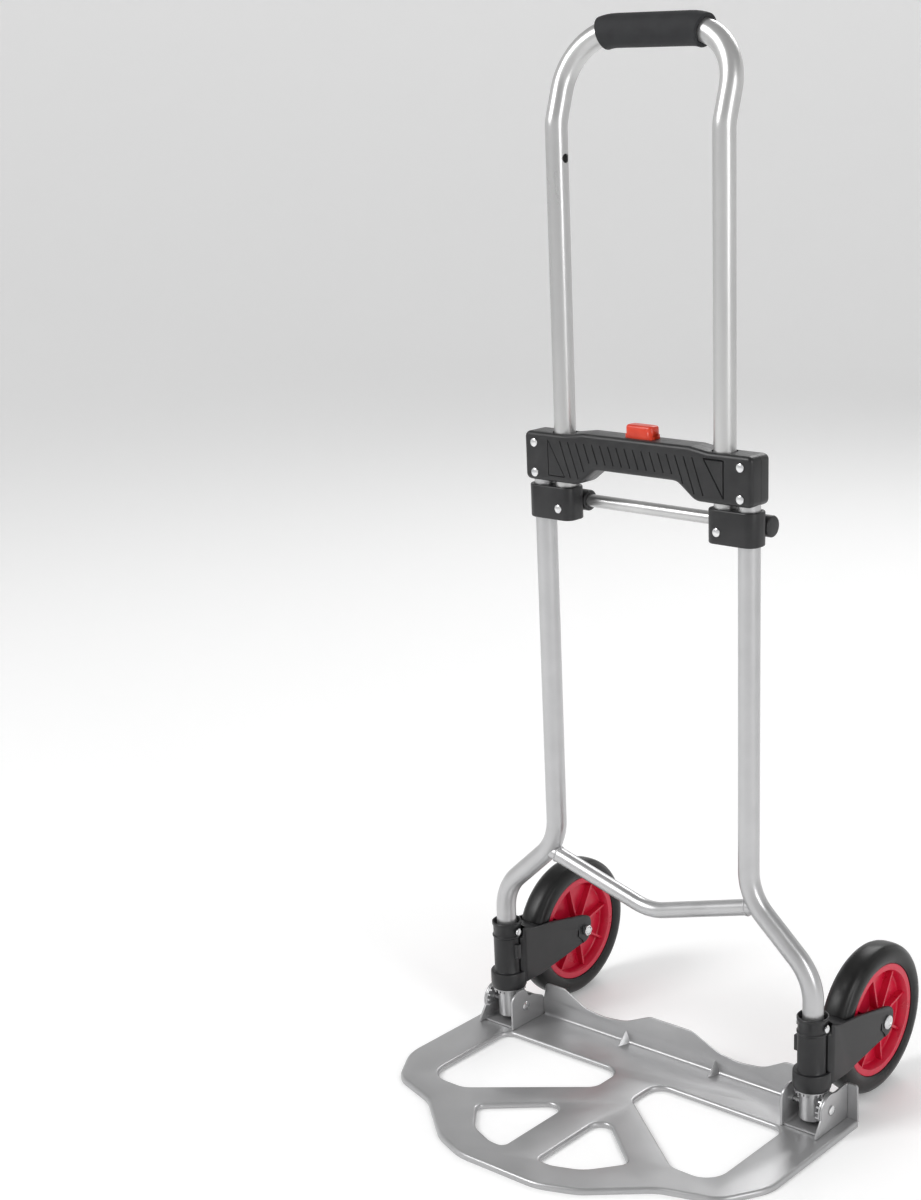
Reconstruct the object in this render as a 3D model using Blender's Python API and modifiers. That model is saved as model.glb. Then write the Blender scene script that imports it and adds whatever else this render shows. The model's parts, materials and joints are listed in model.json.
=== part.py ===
"""Folding hand truck: tube frame, telescoping handle, pressed toe plate and two swinging wheel arms.

+Z is up, the toe plate lies towards -Y and the wheels stand on the +Y side. The truck is open and ready
for use. A toothed sector on each hinge bracket drives the crown gear of a wheel arm, one to one, so folding
the plate up swings the wheels in behind it. X = 0 is the plane of symmetry and Z = 0 is the ground.
"""

from math import cos, pi, radians, sin, tan

import bmesh
import bpy
from mathutils import Matrix, Vector

MM = 0.001
GAP = 0.3 * MM  # between pieces that touch
PAST = 10 * MM  # how far a cutter goes beyond what it cuts
SIDES = {"left": -1, "right": 1}

# Tubes
TUBE_R = 10 * MM
TUBE_WALL = 1.5 * MM
TUBE_SIDES = 12
FRAME_HALF_WIDTH = 115 * MM
LEG_HALF_WIDTH = 187 * MM
LEG_BEND_TOP_Z = 220.3 * MM
LEG_BEND_LOW_Z = 154.8 * MM
LEG_BEND_R = 55 * MM
LEG_END_Z = 12.8 * MM
BRACE_R = 7.8 * MM
BRACE_END_Z = 208.8 * MM
BRACE_MIDDLE_Z = 175.3 * MM
BRACE_BEND_R = 40 * MM

# Handle
HANDLE_HALF_WIDTH = 89.3 * MM
HANDLE_TOP_Z = 970 * MM  # centre line of the tube under the grip
HANDLE_KINK_Z = 896 * MM
HANDLE_LEAN = radians(18.5)
HANDLE_KINK_R = 30 * MM
HANDLE_BEND_R = 50 * MM
GRIP_LENGTH = 108 * MM
GRIP_R = 14 * MM
HANDLE_TRAVEL = 262 * MM
LOCK_HOLE_R = 4 * MM

# Crossbar
CROSSBAR_HALF_WIDTH = 127 * MM
CROSSBAR_HALF_DEPTH = 14 * MM
CROSSBAR_LOW_Z = 584 * MM
CROSSBAR_END_TOP_Z = 628.5 * MM
CROSSBAR_TOP_Z = 631.5 * MM
CROSSBAR_ARCH_Z = 599.6 * MM
CROSSBAR_ARCH_HALF = 46 * MM
CROSSBAR_CROWN_HALF = 70 * MM
CROSSBAR_WALL = 3 * MM
RIVET_SHAFT_R = 2.2 * MM
RIVET_HEAD_R = 3.8 * MM
RIVET_HEAD_H = 1.8 * MM
RIVET_SIDES = 8
CROSSBAR_RIVET_DROPS = (9.9 * MM, 37.4 * MM)  # below the top of the crossbar's ends

# Release button and lock bolts
BUTTON_HALF_WIDTH = 14.8 * MM
BUTTON_HALF_DEPTH = 7 * MM
BUTTON_STAND = 11.5 * MM
BUTTON_TRAVEL = 6 * MM
BOLT_R = 3 * MM
BOLT_Z = 605 * MM
CAM_PIN_R = 1.5 * MM
CAM_PIN_X = 11 * MM
CAM_PIN_RISE = 7.5 * MM
CAM_LEG_Y = 4.3 * MM
CAM_LEG_THICK = 1.8 * MM

# Collars and tie rod
COLLAR_R = 13 * MM
COLLAR_LOW_Z = 548.5 * MM
COLLAR_HEIGHT = 31 * MM
COLLAR_FLOOR = 3 * MM  # under the end of the handle tube
COLLAR_RIVET_RISE = 11 * MM
LUG_R = 9.7 * MM
LUG_Y = 18.5 * MM
LUG_RISE = 15 * MM
TIE_ROD_R = 6 * MM

# Wheels
WHEEL_R = 75 * MM
WHEEL_WIDTH = 30 * MM
RIM_R = 56 * MM
RIM_WIDTH = 24 * MM
HUB_R = 13 * MM
AXLE_R = 4 * MM
AXLE_Y = 102 * MM
AXLE_HEAD_R = 7 * MM
AXLE_HEAD_H = 2.6 * MM
NUT_R = 6 * MM
NUT_HEIGHT = 5 * MM
WHEEL_CLEAR = 2.2 * MM
HUB_BUSH_WALL = 1.2 * MM
RIB_COUNT = 8
RIB_THICK = 2.4 * MM
RIB_DROP = 2.5 * MM  # below the rim's face

# Wheel arms
ARM_HALF_WIDTH = 19.5 * MM
ARM_PLATE = 3.2 * MM
SLEEVE_R = 14.3 * MM
SLEEVE_TOP_Z = 101 * MM
SKIRT_R = 18.6 * MM
SKIRT_TOP_Z = 63 * MM
SKIRT_LOW_Z = 45 * MM
RING_R = 15.2 * MM
RING_TOP_Z = 118 * MM
RING_RIVET_DROP = 10 * MM
BUSH_WALL = 1.5 * MM
ARM_LOW_Z = 50.5 * MM
ARM_FRONT_Y = 1 * MM
ARM_CORNER_R = 8 * MM
ARM_TOP_Z = 112 * MM

# Hinge and gears
PIN_Z = 26.3 * MM
PIN_R = 3 * MM
PIN_HEAD_R = 5 * MM
EAR_INSIDE = 19.1 * MM  # from the leg's axis to each ear
EAR_THICK = 2.5 * MM
GEAR_R = 15.4 * MM  # from each gear's axis, so that the pair turns one to one
GEAR_TEETH = 20
GEAR_FACE = 2.8 * MM
GEAR_SEAT = 5 * MM
SECTOR_LEAD = 16  # degrees of rim behind the top
SECTOR_REACH = 106  # degrees of rim in front of the top
TOOTH_CLEAR = 0.4 * MM
TOOTH_SHARE = 0.36  # of the pitch

# Toe plate
PLATE_TOP_Z = 5.8 * MM
SHEET = 2.2 * MM
PLATE_HALF_WIDTH = 221 * MM
PLATE_FRONT_Y = -235 * MM
WINDOW_LIP = 4.3 * MM
FLANGE_Y = 28.5 * MM
FLANGE_HEIGHT = 42 * MM
GUSSET_X = 56 * MM
GUSSET_SIZE = 14 * MM
BASE_THICK = 2 * MM

COLOURS = {
    "silver_paint": ((0.50, 0.51, 0.52), 0.6, 0.35),
    "handle_paint": ((0.60, 0.61, 0.62), 0.7, 0.3),
    "plate_paint": ((0.40, 0.41, 0.42), 0.5, 0.45),
    "zinc": ((0.75, 0.75, 0.76), 1.0, 0.25),
    "gear_steel": ((0.55, 0.55, 0.56), 1.0, 0.4),
    "black_plastic": ((0.03, 0.03, 0.032), 0.0, 0.45),
    "foam": ((0.045, 0.047, 0.05), 0.0, 0.8),
    "rim_plastic": ((0.55, 0.01, 0.04), 0.0, 0.35),
    "button_plastic": ((0.75, 0.06, 0.02), 0.0, 0.4),
    "tyre_rubber": ((0.02, 0.02, 0.02), 0.0, 0.55),
}

# Worked out from the sizes above
CHANNEL_R = TUBE_R + GAP
FLOOR_Z = CROSSBAR_ARCH_Z + 2 * MM
ORIGIN_Y = -(AXLE_Y + WHEEL_R + PLATE_FRONT_Y) / 2
BEHIND_PLATE_Y = FLANGE_Y + SHEET


# ---- scene helpers ----


def clear_scene():
    for obj in list(bpy.data.objects):
        bpy.data.objects.remove(obj, do_unlink=True)


def new_collection(name):
    made = bpy.data.collections.new(name)
    bpy.context.scene.collection.children.link(made)
    return made


def new_material(name, colour, metallic, roughness):
    made = bpy.data.materials.new(name)
    made.use_nodes = True
    made.diffuse_color = (*colour, 1)
    shader = made.node_tree.nodes["Principled BSDF"]
    shader.inputs["Base Color"].default_value = (*colour, 1)
    shader.inputs["Metallic"].default_value = metallic
    shader.inputs["Roughness"].default_value = roughness
    return made


clear_scene()
TRUCK = new_collection("hand_truck")
CUTTERS = new_collection("cutters")
CUTTERS.hide_render = True
MATERIALS = {name: new_material(name, *look) for name, look in COLOURS.items()}


def new_empty(name, at, parent=None):
    """An empty at a place given in the truck's frame; every piece is parented to one."""
    made = bpy.data.objects.new(name, None)
    made.empty_display_size = 0.02
    made["at"] = tuple(at)
    made.location = Vector(at) - (Vector(parent["at"]) if parent else Vector((0, -ORIGIN_Y, 0)))
    made.parent = parent
    TRUCK.objects.link(made)
    return made


def add_piece(name, mesh, parent, slot, at=(0, 0, 0), turn=(0, 0, 0)):
    """A piece of the truck: its mesh is placed at a point of the truck's frame, turned by Euler angles."""
    made = bpy.data.objects.new(name, mesh)
    made.parent = parent
    made.location = Vector(at) - Vector(parent["at"])
    made.rotation_euler = turn
    mesh.materials.clear()
    mesh.materials.append(MATERIALS[slot])
    mesh.shade_smooth()
    mesh.set_sharp_from_angle(angle=radians(35))
    TRUCK.objects.link(made)
    return made


def boolean(piece, mesh, at=(0, 0, 0), turn=(0, 0, 0), operation="DIFFERENCE"):
    """Cuts, joins or intersects a piece with a mesh placed in the truck's frame."""
    tool = bpy.data.objects.new(f"{piece.name}_{len(piece.modifiers)}", mesh)
    tool.parent = piece.parent
    tool.location = Vector(at) - Vector(piece.parent["at"])
    tool.rotation_euler = turn
    tool.hide_render = True
    tool.display_type = "WIRE"
    CUTTERS.objects.link(tool)
    step = piece.modifiers.new(operation.lower(), "BOOLEAN")
    step.operation = operation
    step.solver = "EXACT"
    step.object = tool


def add_bevel(piece, width, segments=2, angle=radians(40)):
    step = piece.modifiers.new("bevel", "BEVEL")
    step.width = width
    step.segments = segments
    step.limit_method = "ANGLE"
    step.angle_limit = angle


# ---- shape helpers ----


def mesh_from(bm, name):
    bmesh.ops.recalc_face_normals(bm, faces=bm.faces)
    mesh = bpy.data.meshes.new(name)
    bm.to_mesh(mesh)
    bm.free()
    return mesh


def box(low, high):
    bm = bmesh.new()
    bmesh.ops.create_cube(bm, size=1)
    size = Vector(high) - Vector(low)
    bmesh.ops.scale(bm, vec=size, verts=bm.verts)
    bmesh.ops.translate(bm, vec=(Vector(low) + Vector(high)) / 2, verts=bm.verts)
    return mesh_from(bm, "box")


def rod(radius, start, end, segments=18):
    """A round bar between two points."""
    start, end = Vector(start), Vector(end)
    along = end - start
    bm = bmesh.new()
    ends = {"radius1": radius, "radius2": radius}
    bmesh.ops.create_cone(bm, cap_ends=True, segments=segments, depth=along.length, **ends)
    bmesh.ops.rotate(bm, matrix=along.to_track_quat("Z", "Y").to_matrix(), verts=bm.verts)
    bmesh.ops.translate(bm, vec=(start + end) / 2, verts=bm.verts)
    return mesh_from(bm, "rod")


def turned(profile, steps=20):
    """A closed (radius, z) profile turned about Z. A profile that meets the axis makes a solid bar."""
    bm = bmesh.new()
    corners = [bm.verts.new((r, 0, z)) for r, z in profile]
    ends = list(zip(corners, corners[1:] + corners[:1]))
    edges = [bm.edges.new(pair) for pair in ends if pair[0].co.x > 0 or pair[1].co.x > 0]
    bmesh.ops.spin(bm, geom=corners + edges, cent=(0, 0, 0), axis=(0, 0, 1), angle=2 * pi, steps=steps)
    bmesh.ops.remove_doubles(bm, verts=bm.verts, dist=1e-6)
    return mesh_from(bm, "turned")


def arc(centre, radius, start, end, steps):
    """Points of an arc in a plane, from one angle to another in degrees."""
    turns = [radians(start + (end - start) * i / steps) for i in range(steps + 1)]
    return [(centre[0] + radius * cos(t), centre[1] + radius * sin(t)) for t in turns]


def rounded(corners, closed=True, step=15):
    """Corner points, each with a fillet radius last, made into points with an arc at every filleted corner.
    Works in two or three dimensions. A fillet is limited by the shorter side that it sits on."""
    points = []
    count = len(corners)
    for i, corner in enumerate(corners):
        here, radius = Vector(corner[:-1]), corner[-1]
        if radius == 0 or (not closed and i in (0, count - 1)):
            points.append(here)
            continue
        before = Vector(corners[i - 1][:-1]) - here
        after = Vector(corners[(i + 1) % count][:-1]) - here
        half = before.angle(after) / 2
        reach = min(radius / tan(half), 0.48 * before.length, 0.48 * after.length)
        radius = reach * tan(half)
        inward = (before.normalized() + after.normalized()).normalized()
        centre = here + inward * (radius / sin(half))
        first = here + before.normalized() * reach - centre
        last = here + after.normalized() * reach - centre
        sweep = first.angle(last)
        steps = max(1, round(sweep / radians(step)))
        for k in range(steps + 1):
            share = k / steps
            mixed = first * sin((1 - share) * sweep) + last * sin(share * sweep)
            points.append(centre + mixed / sin(sweep))
    return points


def mirrored(half):
    """A closed outline from its half at +X, listed from the -Y or low end to the other end."""
    return half + [(-corner[0], *corner[1:]) for corner in reversed(half)]


def flat_mesh(loops, thickness):
    """A flat plate in the XY plane, centred on Z = 0, whose later loops are holes."""
    curve = bpy.data.curves.new("outline", "CURVE")
    curve.dimensions = "2D"
    curve.fill_mode = "BOTH" if thickness else "FRONT"
    curve.extrude = thickness / 2
    for loop in loops:
        spline = curve.splines.new("POLY")
        spline.points.add(len(loop) - 1)
        for point, place in zip(spline.points, loop):
            point.co = (place[0], place[1], 0, 1)
        spline.use_cyclic_u = True
    return mesh_of_curve(curve)


def mesh_of_curve(curve):
    carrier = bpy.data.objects.new("carrier", curve)
    bpy.context.scene.collection.objects.link(carrier)
    graph = bpy.context.evaluated_depsgraph_get()
    mesh = bpy.data.meshes.new_from_object(carrier.evaluated_get(graph))
    bpy.data.objects.remove(carrier)
    bpy.data.curves.remove(curve)
    bm = bmesh.new()
    bm.from_mesh(mesh)
    bmesh.ops.remove_doubles(bm, verts=bm.verts, dist=1e-6)
    bmesh.ops.recalc_face_normals(bm, faces=bm.faces)
    bm.to_mesh(mesh)
    bm.free()
    return mesh


def tube_mesh(path, radius, sides=TUBE_SIDES, caps=True):
    """A round tube's outer surface along points in space, closed at its ends if caps is set."""
    curve = bpy.data.curves.new("tube", "CURVE")
    curve.dimensions = "3D"
    curve.bevel_depth = radius
    curve.bevel_resolution = sides // 2 - 2
    curve.use_fill_caps = caps
    spline = curve.splines.new("POLY")
    spline.points.add(len(path) - 1)
    for point, place in zip(spline.points, path):
        point.co = (*place, 1)
    return mesh_of_curve(curve)


def add_wall(piece, thickness, offset=-1):
    """Gives an open surface a wall, inwards unless offset is 1."""
    step = piece.modifiers.new("wall", "SOLIDIFY")
    step.thickness = thickness
    step.offset = offset
    step.use_even_offset = True


def side_plate(outline, thickness, x):
    """A flat plate in the YZ plane, centred on x, from (y, z) points."""
    mesh = flat_mesh([outline], thickness)
    mesh.transform(Matrix(((0, 0, 1, x), (1, 0, 0, 0), (0, 1, 0, 0), (0, 0, 0, 1))))
    return mesh


def front_plate(outline, thickness, y=0.0, holes=()):
    """A flat plate in the XZ plane, centred on y, from (x, z) points."""
    mesh = flat_mesh([outline, *holes], thickness)
    mesh.transform(Matrix(((1, 0, 0, 0), (0, 0, -1, y), (0, 1, 0, 0), (0, 0, 0, 1))))
    return mesh


def rivet_mesh(shaft_r, head_r, head_h, half_length):
    """A rivet along Z with a low domed head at each end; half_length reaches each head's underside."""
    top = [(shaft_r, half_length), *rivet_head(head_r, half_length, head_h)]
    bottom = [(r, -z) for r, z in reversed(top)]
    return turned(bottom + top, RIVET_SIDES)


def rivet_head(radius, low, height):
    """Profile points of a low dome, from its underside to its crown."""
    high = low + height
    return [(radius, low), (radius, high - 0.6 * height), (0.6 * radius, high), (0, high)]


# ---- frame ----


def leg_path(side):
    corners = [
        (side * FRAME_HALF_WIDTH, 0, CROSSBAR_END_TOP_Z - CROSSBAR_WALL, 0),
        (side * FRAME_HALF_WIDTH, 0, LEG_BEND_TOP_Z, LEG_BEND_R),
        (side * LEG_HALF_WIDTH, 0, LEG_BEND_LOW_Z, LEG_BEND_R),
        (side * LEG_HALF_WIDTH, 0, LEG_END_Z, 0),
    ]
    return rounded(corners, closed=False, step=16)


def crossbar_rivet_places():
    for side in (-1, 1):
        for drop in CROSSBAR_RIVET_DROPS:
            yield side * FRAME_HALF_WIDTH, CROSSBAR_END_TOP_Z - drop


def add_frame_tube(word, side, frame):
    mesh = tube_mesh(leg_path(side), TUBE_R, caps=False)
    tube = add_piece(f"frame_tube_{word}", mesh, frame, "silver_paint")
    add_wall(tube, TUBE_WALL)
    for x, z in crossbar_rivet_places():
        if x * side > 0:
            hole_r = RIVET_SHAFT_R + GAP
            boolean(tube, rod(hole_r, (x, -2 * TUBE_R, z), (x, 2 * TUBE_R, z), 8))
    x = side * LEG_HALF_WIDTH
    for z, radius in ((PIN_Z, PIN_R), (RING_TOP_Z - RING_RIVET_DROP, RIVET_SHAFT_R)):
        boolean(tube, rod(radius + GAP, (x - 2 * TUBE_R, 0, z), (x + 2 * TUBE_R, 0, z), 8))


def add_brace(frame):
    """The cross brace, its ends shaped to the legs that they are welded to."""
    end_x = FRAME_HALF_WIDTH + 3 * MM
    middle = (0, 0, BRACE_MIDDLE_Z, BRACE_BEND_R)
    corners = [(-end_x, 0, BRACE_END_Z, 0), middle, (end_x, 0, BRACE_END_Z, 0)]
    mesh = tube_mesh(rounded(corners, closed=False, step=8), BRACE_R, 10)
    brace = add_piece("frame_brace", mesh, frame, "silver_paint")
    for side in SIDES.values():
        boolean(brace, tube_mesh(leg_path(side), TUBE_R + GAP, 16))


def crossbar_outline():
    low, arch = CROSSBAR_LOW_Z, CROSSBAR_ARCH_Z
    half = [
        (CROSSBAR_ARCH_HALF, arch, 14 * MM),
        (CROSSBAR_ARCH_HALF + 20 * MM, low, 14 * MM),
        (CROSSBAR_HALF_WIDTH, low, 3 * MM),
        (CROSSBAR_HALF_WIDTH, CROSSBAR_END_TOP_Z, 3 * MM),
        (CROSSBAR_CROWN_HALF + 10 * MM, CROSSBAR_END_TOP_Z, 20 * MM),
        (CROSSBAR_CROWN_HALF - 10 * MM, CROSSBAR_TOP_Z, 20 * MM),
    ]
    return rounded(mirrored(half), step=22)


def add_crossbar_shell(name, side_y, frame):
    """One half of the crossbar housing: -1 for the front shell, 1 for the rear one."""
    full_turn = 360 - 360 / RIVET_SIDES
    holes = [
        arc(centre, RIVET_SHAFT_R + GAP, 0, full_turn, RIVET_SIDES - 1)
        for centre in crossbar_rivet_places()
    ]
    mesh = front_plate(crossbar_outline(), 2 * CROSSBAR_HALF_DEPTH, holes=holes)
    shell = add_piece(name, mesh, frame, "black_plastic")
    far = 2 * CROSSBAR_HALF_WIDTH
    near = -side_y * far
    split = side_y * GAP / 2
    low_y, high_y = min(near, split), max(near, split)
    boolean(shell, box((-far, low_y, 0), (far, high_y, 1)))
    cavity_x = HANDLE_HALF_WIDTH - CHANNEL_R - 5 * MM
    cavity_y = CROSSBAR_HALF_DEPTH - CROSSBAR_WALL
    ceiling_z = CROSSBAR_END_TOP_Z - CROSSBAR_WALL
    boolean(shell, box((-cavity_x, -cavity_y, FLOOR_Z), (cavity_x, cavity_y, ceiling_z)))
    well_x = BUTTON_HALF_WIDTH + 2 * GAP
    well_y = BUTTON_HALF_DEPTH + 2 * GAP
    over, under = CROSSBAR_TOP_Z + PAST, CROSSBAR_LOW_Z - PAST
    boolean(shell, box((-well_x, -well_y, BOLT_Z), (well_x, well_y, over)))
    boolean(shell, rod(BOLT_R + GAP, (-HANDLE_HALF_WIDTH, 0, BOLT_Z), (HANDLE_HALF_WIDTH, 0, BOLT_Z), 10))
    for side in SIDES.values():
        x = side * FRAME_HALF_WIDTH
        boolean(shell, rod(CHANNEL_R, (x, 0, under), (x, 0, ceiling_z + GAP)))
        x = side * HANDLE_HALF_WIDTH
        boolean(shell, rod(CHANNEL_R, (x, 0, under), (x, 0, over)))


def add_frame():
    frame = new_empty("frame", (0, 0, 0), ROOT)
    for word, side in SIDES.items():
        add_frame_tube(word, side, frame)
        add_leg_fittings(word, side, frame)
    add_brace(frame)
    add_crossbar_shell("crossbar_front_shell", -1, frame)
    add_crossbar_shell("crossbar_rear_shell", 1, frame)
    for i, (x, z) in enumerate(crossbar_rivet_places(), 1):
        mesh = rivet_mesh(RIVET_SHAFT_R, RIVET_HEAD_R, RIVET_HEAD_H, CROSSBAR_HALF_DEPTH + GAP)
        add_piece(f"crossbar_rivet_{i}", mesh, frame, "zinc", (x, 0, z), (pi / 2, 0, 0))
    add_button_spring(frame)


def add_leg_fittings(word, side, frame):
    """The retaining ring above the wheel arm with its rivet, and the steel bush below it."""
    x = side * LEG_HALF_WIDTH
    low = SLEEVE_TOP_Z + GAP
    lip_z = RING_TOP_Z - 4 * MM
    profile = [
        (CHANNEL_R, low),
        (RING_R - 1 * MM, low),
        (RING_R - 1 * MM, low + 3 * MM),
        (RING_R, low + 4 * MM),
        (RING_R, RING_TOP_Z),
        (RING_R - 1.6 * MM, RING_TOP_Z),
        (RING_R - 1.6 * MM, lip_z),
        (CHANNEL_R, lip_z),
    ]
    ring = add_piece(f"leg_ring_{word}", turned(profile), frame, "black_plastic", (x, 0, 0))
    rivet_z = RING_TOP_Z - RING_RIVET_DROP
    boolean(ring, rod(RIVET_SHAFT_R + GAP, (x - 2 * RING_R, 0, rivet_z), (x + 2 * RING_R, 0, rivet_z), 8))
    mesh = rivet_mesh(RIVET_SHAFT_R, RIVET_HEAD_R, RIVET_HEAD_H, RING_R + GAP)
    add_piece(f"ring_rivet_{word}", mesh, frame, "zinc", (x, 0, rivet_z), (0, pi / 2, 0))
    outer = CHANNEL_R + BUSH_WALL
    top = SKIRT_LOW_Z - GAP
    profile = [(CHANNEL_R, LEG_END_Z), (outer, LEG_END_Z), (outer, top), (CHANNEL_R, top)]
    bush = add_piece(f"leg_bush_{word}", turned(profile), frame, "silver_paint", (x, 0, 0))
    boolean(bush, rod(PIN_R + GAP, (x - 2 * outer, 0, PIN_Z), (x + 2 * outer, 0, PIN_Z), 8))


# ---- release button, its spring and the lock bolts ----


def button_low_z():
    """The underside of the button's cap."""
    return BOLT_Z + CAM_PIN_RISE + CAM_PIN_R + BUTTON_TRAVEL + 1.5 * MM


def add_button_spring(frame):
    turns, wire, radius = 4, 0.5 * MM, 2.6 * MM
    each = 8
    low = FLOOR_Z + GAP + wire
    high = button_low_z() - GAP - wire
    count = each * turns
    path = [
        (radius * cos(2 * pi * i / each), radius * sin(2 * pi * i / each), low + (high - low) * i / count)
        for i in range(count + 1)
    ]
    add_piece("button_spring", tube_mesh(path, wire, 6), frame, "zinc")


def add_release_button():
    """The cap and its four legs, whose slanted edges draw the lock bolts' pins inwards one to one."""
    low = button_low_z()
    body = new_empty("release_button_slide", (0, 0, low), ROOT)
    w, d = BUTTON_HALF_WIDTH, BUTTON_HALF_DEPTH
    cap = box((-w, -d, low), (w, d, CROSSBAR_TOP_Z + BUTTON_STAND))
    button = add_piece("release_button", cap, body, "button_plastic")
    add_bevel(button, 1.2 * MM, 1)
    pin_z = BOLT_Z + CAM_PIN_RISE
    contact = CAM_PIN_X + pin_z + (CAM_PIN_R + GAP) * 2**0.5  # x + z along the slanted edge
    tip_z = pin_z - 0.9 * MM
    outer_x = contact - tip_z + 0.6 * MM
    root_x = CAM_PIN_X - BUTTON_TRAVEL
    for side in SIDES.values():
        outline = [
            (side * outer_x, tip_z),
            (side * (contact - tip_z), tip_z),
            (side * root_x, contact - root_x),
            (side * root_x, low + 1 * MM),
            (side * outer_x, low + 1 * MM),
        ]
        for y in (-CAM_LEG_Y, CAM_LEG_Y):
            boolean(button, front_plate(outline, CAM_LEG_THICK, y), operation="UNION")


def add_lock_bolt(word, side):
    tip = HANDLE_HALF_WIDTH - TUBE_R - GAP
    body = new_empty(f"lock_bolt_{word}_slide", (side * tip, 0, BOLT_Z), ROOT)
    inner = CAM_PIN_X - CAM_PIN_R
    mesh = rod(BOLT_R, (side * inner, 0, BOLT_Z), (side * tip, 0, BOLT_Z), 10)
    bolt = add_piece(f"lock_bolt_{word}", mesh, body, "zinc")
    pin_z = BOLT_Z + CAM_PIN_RISE
    x = side * CAM_PIN_X
    post_y = CAM_LEG_Y - CAM_LEG_THICK / 2 - 2 * GAP
    low = (x - CAM_PIN_R, -post_y, BOLT_Z - BOLT_R / 3)
    high = (x + CAM_PIN_R, post_y, pin_z + CAM_PIN_R)
    boolean(bolt, box(low, high), operation="UNION")
    reach = CAM_LEG_Y + CAM_LEG_THICK / 2
    boolean(bolt, rod(0.9 * CAM_PIN_R, (x, -reach, pin_z), (x, reach, pin_z), 8), operation="UNION")


# ---- handle ----


def handle_path():
    """Centre line of the U, from the left lower end to the right one. The top leans back from the kink."""
    rise = HANDLE_TOP_Z - HANDLE_KINK_Z
    top_y = rise * tan(HANDLE_LEAN)
    half = [
        (HANDLE_HALF_WIDTH, 0, COLLAR_LOW_Z + COLLAR_FLOOR, 0),
        (HANDLE_HALF_WIDTH, 0, HANDLE_KINK_Z, HANDLE_KINK_R),
        (HANDLE_HALF_WIDTH, top_y, HANDLE_TOP_Z, HANDLE_BEND_R),
    ]
    return rounded(list(reversed(mirrored(half))), closed=False, step=15)


def grip_path():
    """The handle's centre line within the grip's length, with its ends cut at that length."""
    half = GRIP_LENGTH / 2
    path = handle_path()
    points = []
    for here, there in zip(path, path[1:]):
        if abs(here.x) <= half:
            points.append(here)
        for limit in (-half, half):
            if min(here.x, there.x) < limit < max(here.x, there.x):
                points.append(here.lerp(there, (limit - here.x) / (there.x - here.x)))
    return points


def add_handle():
    handle = new_empty("handle_slide", (0, 0, COLLAR_LOW_Z), ROOT)
    tube = add_piece("handle_tube", tube_mesh(handle_path(), TUBE_R, caps=False), handle, "handle_paint")
    add_wall(tube, TUBE_WALL)
    rivet_z = COLLAR_LOW_Z + COLLAR_RIVET_RISE
    for side in SIDES.values():
        x = side * HANDLE_HALF_WIDTH
        inner = x - side * 2 * TUBE_R
        for z in (BOLT_Z, BOLT_Z + HANDLE_TRAVEL):
            boolean(tube, rod(LOCK_HOLE_R, (x, 0, z), (inner, 0, z), 10))
        boolean(tube, rod(RIVET_SHAFT_R + GAP, (x, -2 * TUBE_R, rivet_z), (x, 2 * TUBE_R, rivet_z), 8))
    grip = add_piece("handle_grip", tube_mesh(grip_path(), CHANNEL_R, 16, caps=False), handle, "foam")
    add_wall(grip, GRIP_R - CHANNEL_R, offset=1)
    for word, side in SIDES.items():
        add_collar(word, side, handle)
    end_x = HANDLE_HALF_WIDTH + COLLAR_R
    z = COLLAR_LOW_Z + LUG_RISE
    add_piece("tie_rod", rod(TIE_ROD_R, (-end_x, LUG_Y, z), (end_x, LUG_Y, z), 16), handle, "silver_paint")


def add_collar(word, side, handle):
    """A moulding round both tubes of one side: fast on the handle's end, free to slide on the frame tube."""
    inner_x, outer_x = HANDLE_HALF_WIDTH, FRAME_HALF_WIDTH
    stadium = arc((outer_x, 0), COLLAR_R, -90, 90, 7) + arc((inner_x, 0), COLLAR_R, 90, 270, 7)
    outline = [(side * x, y) for x, y in stadium]
    mid_z = COLLAR_LOW_Z + COLLAR_HEIGHT / 2
    mesh = flat_mesh([outline], COLLAR_HEIGHT)
    collar = add_piece(f"collar_{word}", mesh, handle, "black_plastic", (0, 0, mid_z))
    lug_z = COLLAR_LOW_Z + LUG_RISE
    lug_ends = [side * (inner_x - COLLAR_R), side * (outer_x + COLLAR_R - 2 * MM)]
    lug = rod(LUG_R, (lug_ends[0], LUG_Y, lug_z), (lug_ends[1], LUG_Y, lug_z), 16)
    boolean(collar, lug, operation="UNION")
    low, high = COLLAR_LOW_Z, COLLAR_LOW_Z + COLLAR_HEIGHT
    boolean(collar, rod(CHANNEL_R, (side * outer_x, 0, low - PAST), (side * outer_x, 0, high + PAST)))
    seat_z = low + COLLAR_FLOOR - GAP
    boolean(collar, rod(CHANNEL_R, (side * inner_x, 0, seat_z), (side * inner_x, 0, high + PAST)))
    rivet_z = low + COLLAR_RIVET_RISE
    behind = (side * inner_x, COLLAR_R + 1 * MM, rivet_z)
    boolean(collar, rod(RIVET_SHAFT_R + GAP, (side * inner_x, -2 * COLLAR_R, rivet_z), behind, 8))
    blind = side * (inner_x + COLLAR_R + GAP)
    boolean(collar, rod(TIE_ROD_R + 2 * GAP, (0, LUG_Y, lug_z), (blind, LUG_Y, lug_z), 12))
    add_collar_rivet(word, side, rivet_z, handle)


def add_collar_rivet(word, side, z, handle):
    """A rivet from the front whose tail stays inside the tube, short of the tie rod."""
    head_y = COLLAR_R + GAP
    shaft = [(0, -TUBE_R), (RIVET_SHAFT_R, -TUBE_R), (RIVET_SHAFT_R, head_y)]
    mesh = turned(shaft + rivet_head(RIVET_HEAD_R, head_y, RIVET_HEAD_H), RIVET_SIDES)
    add_piece(f"collar_rivet_{word}", mesh, handle, "zinc", (side * HANDLE_HALF_WIDTH, 0, z), (pi / 2, 0, 0))


# ---- wheels ----


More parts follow.
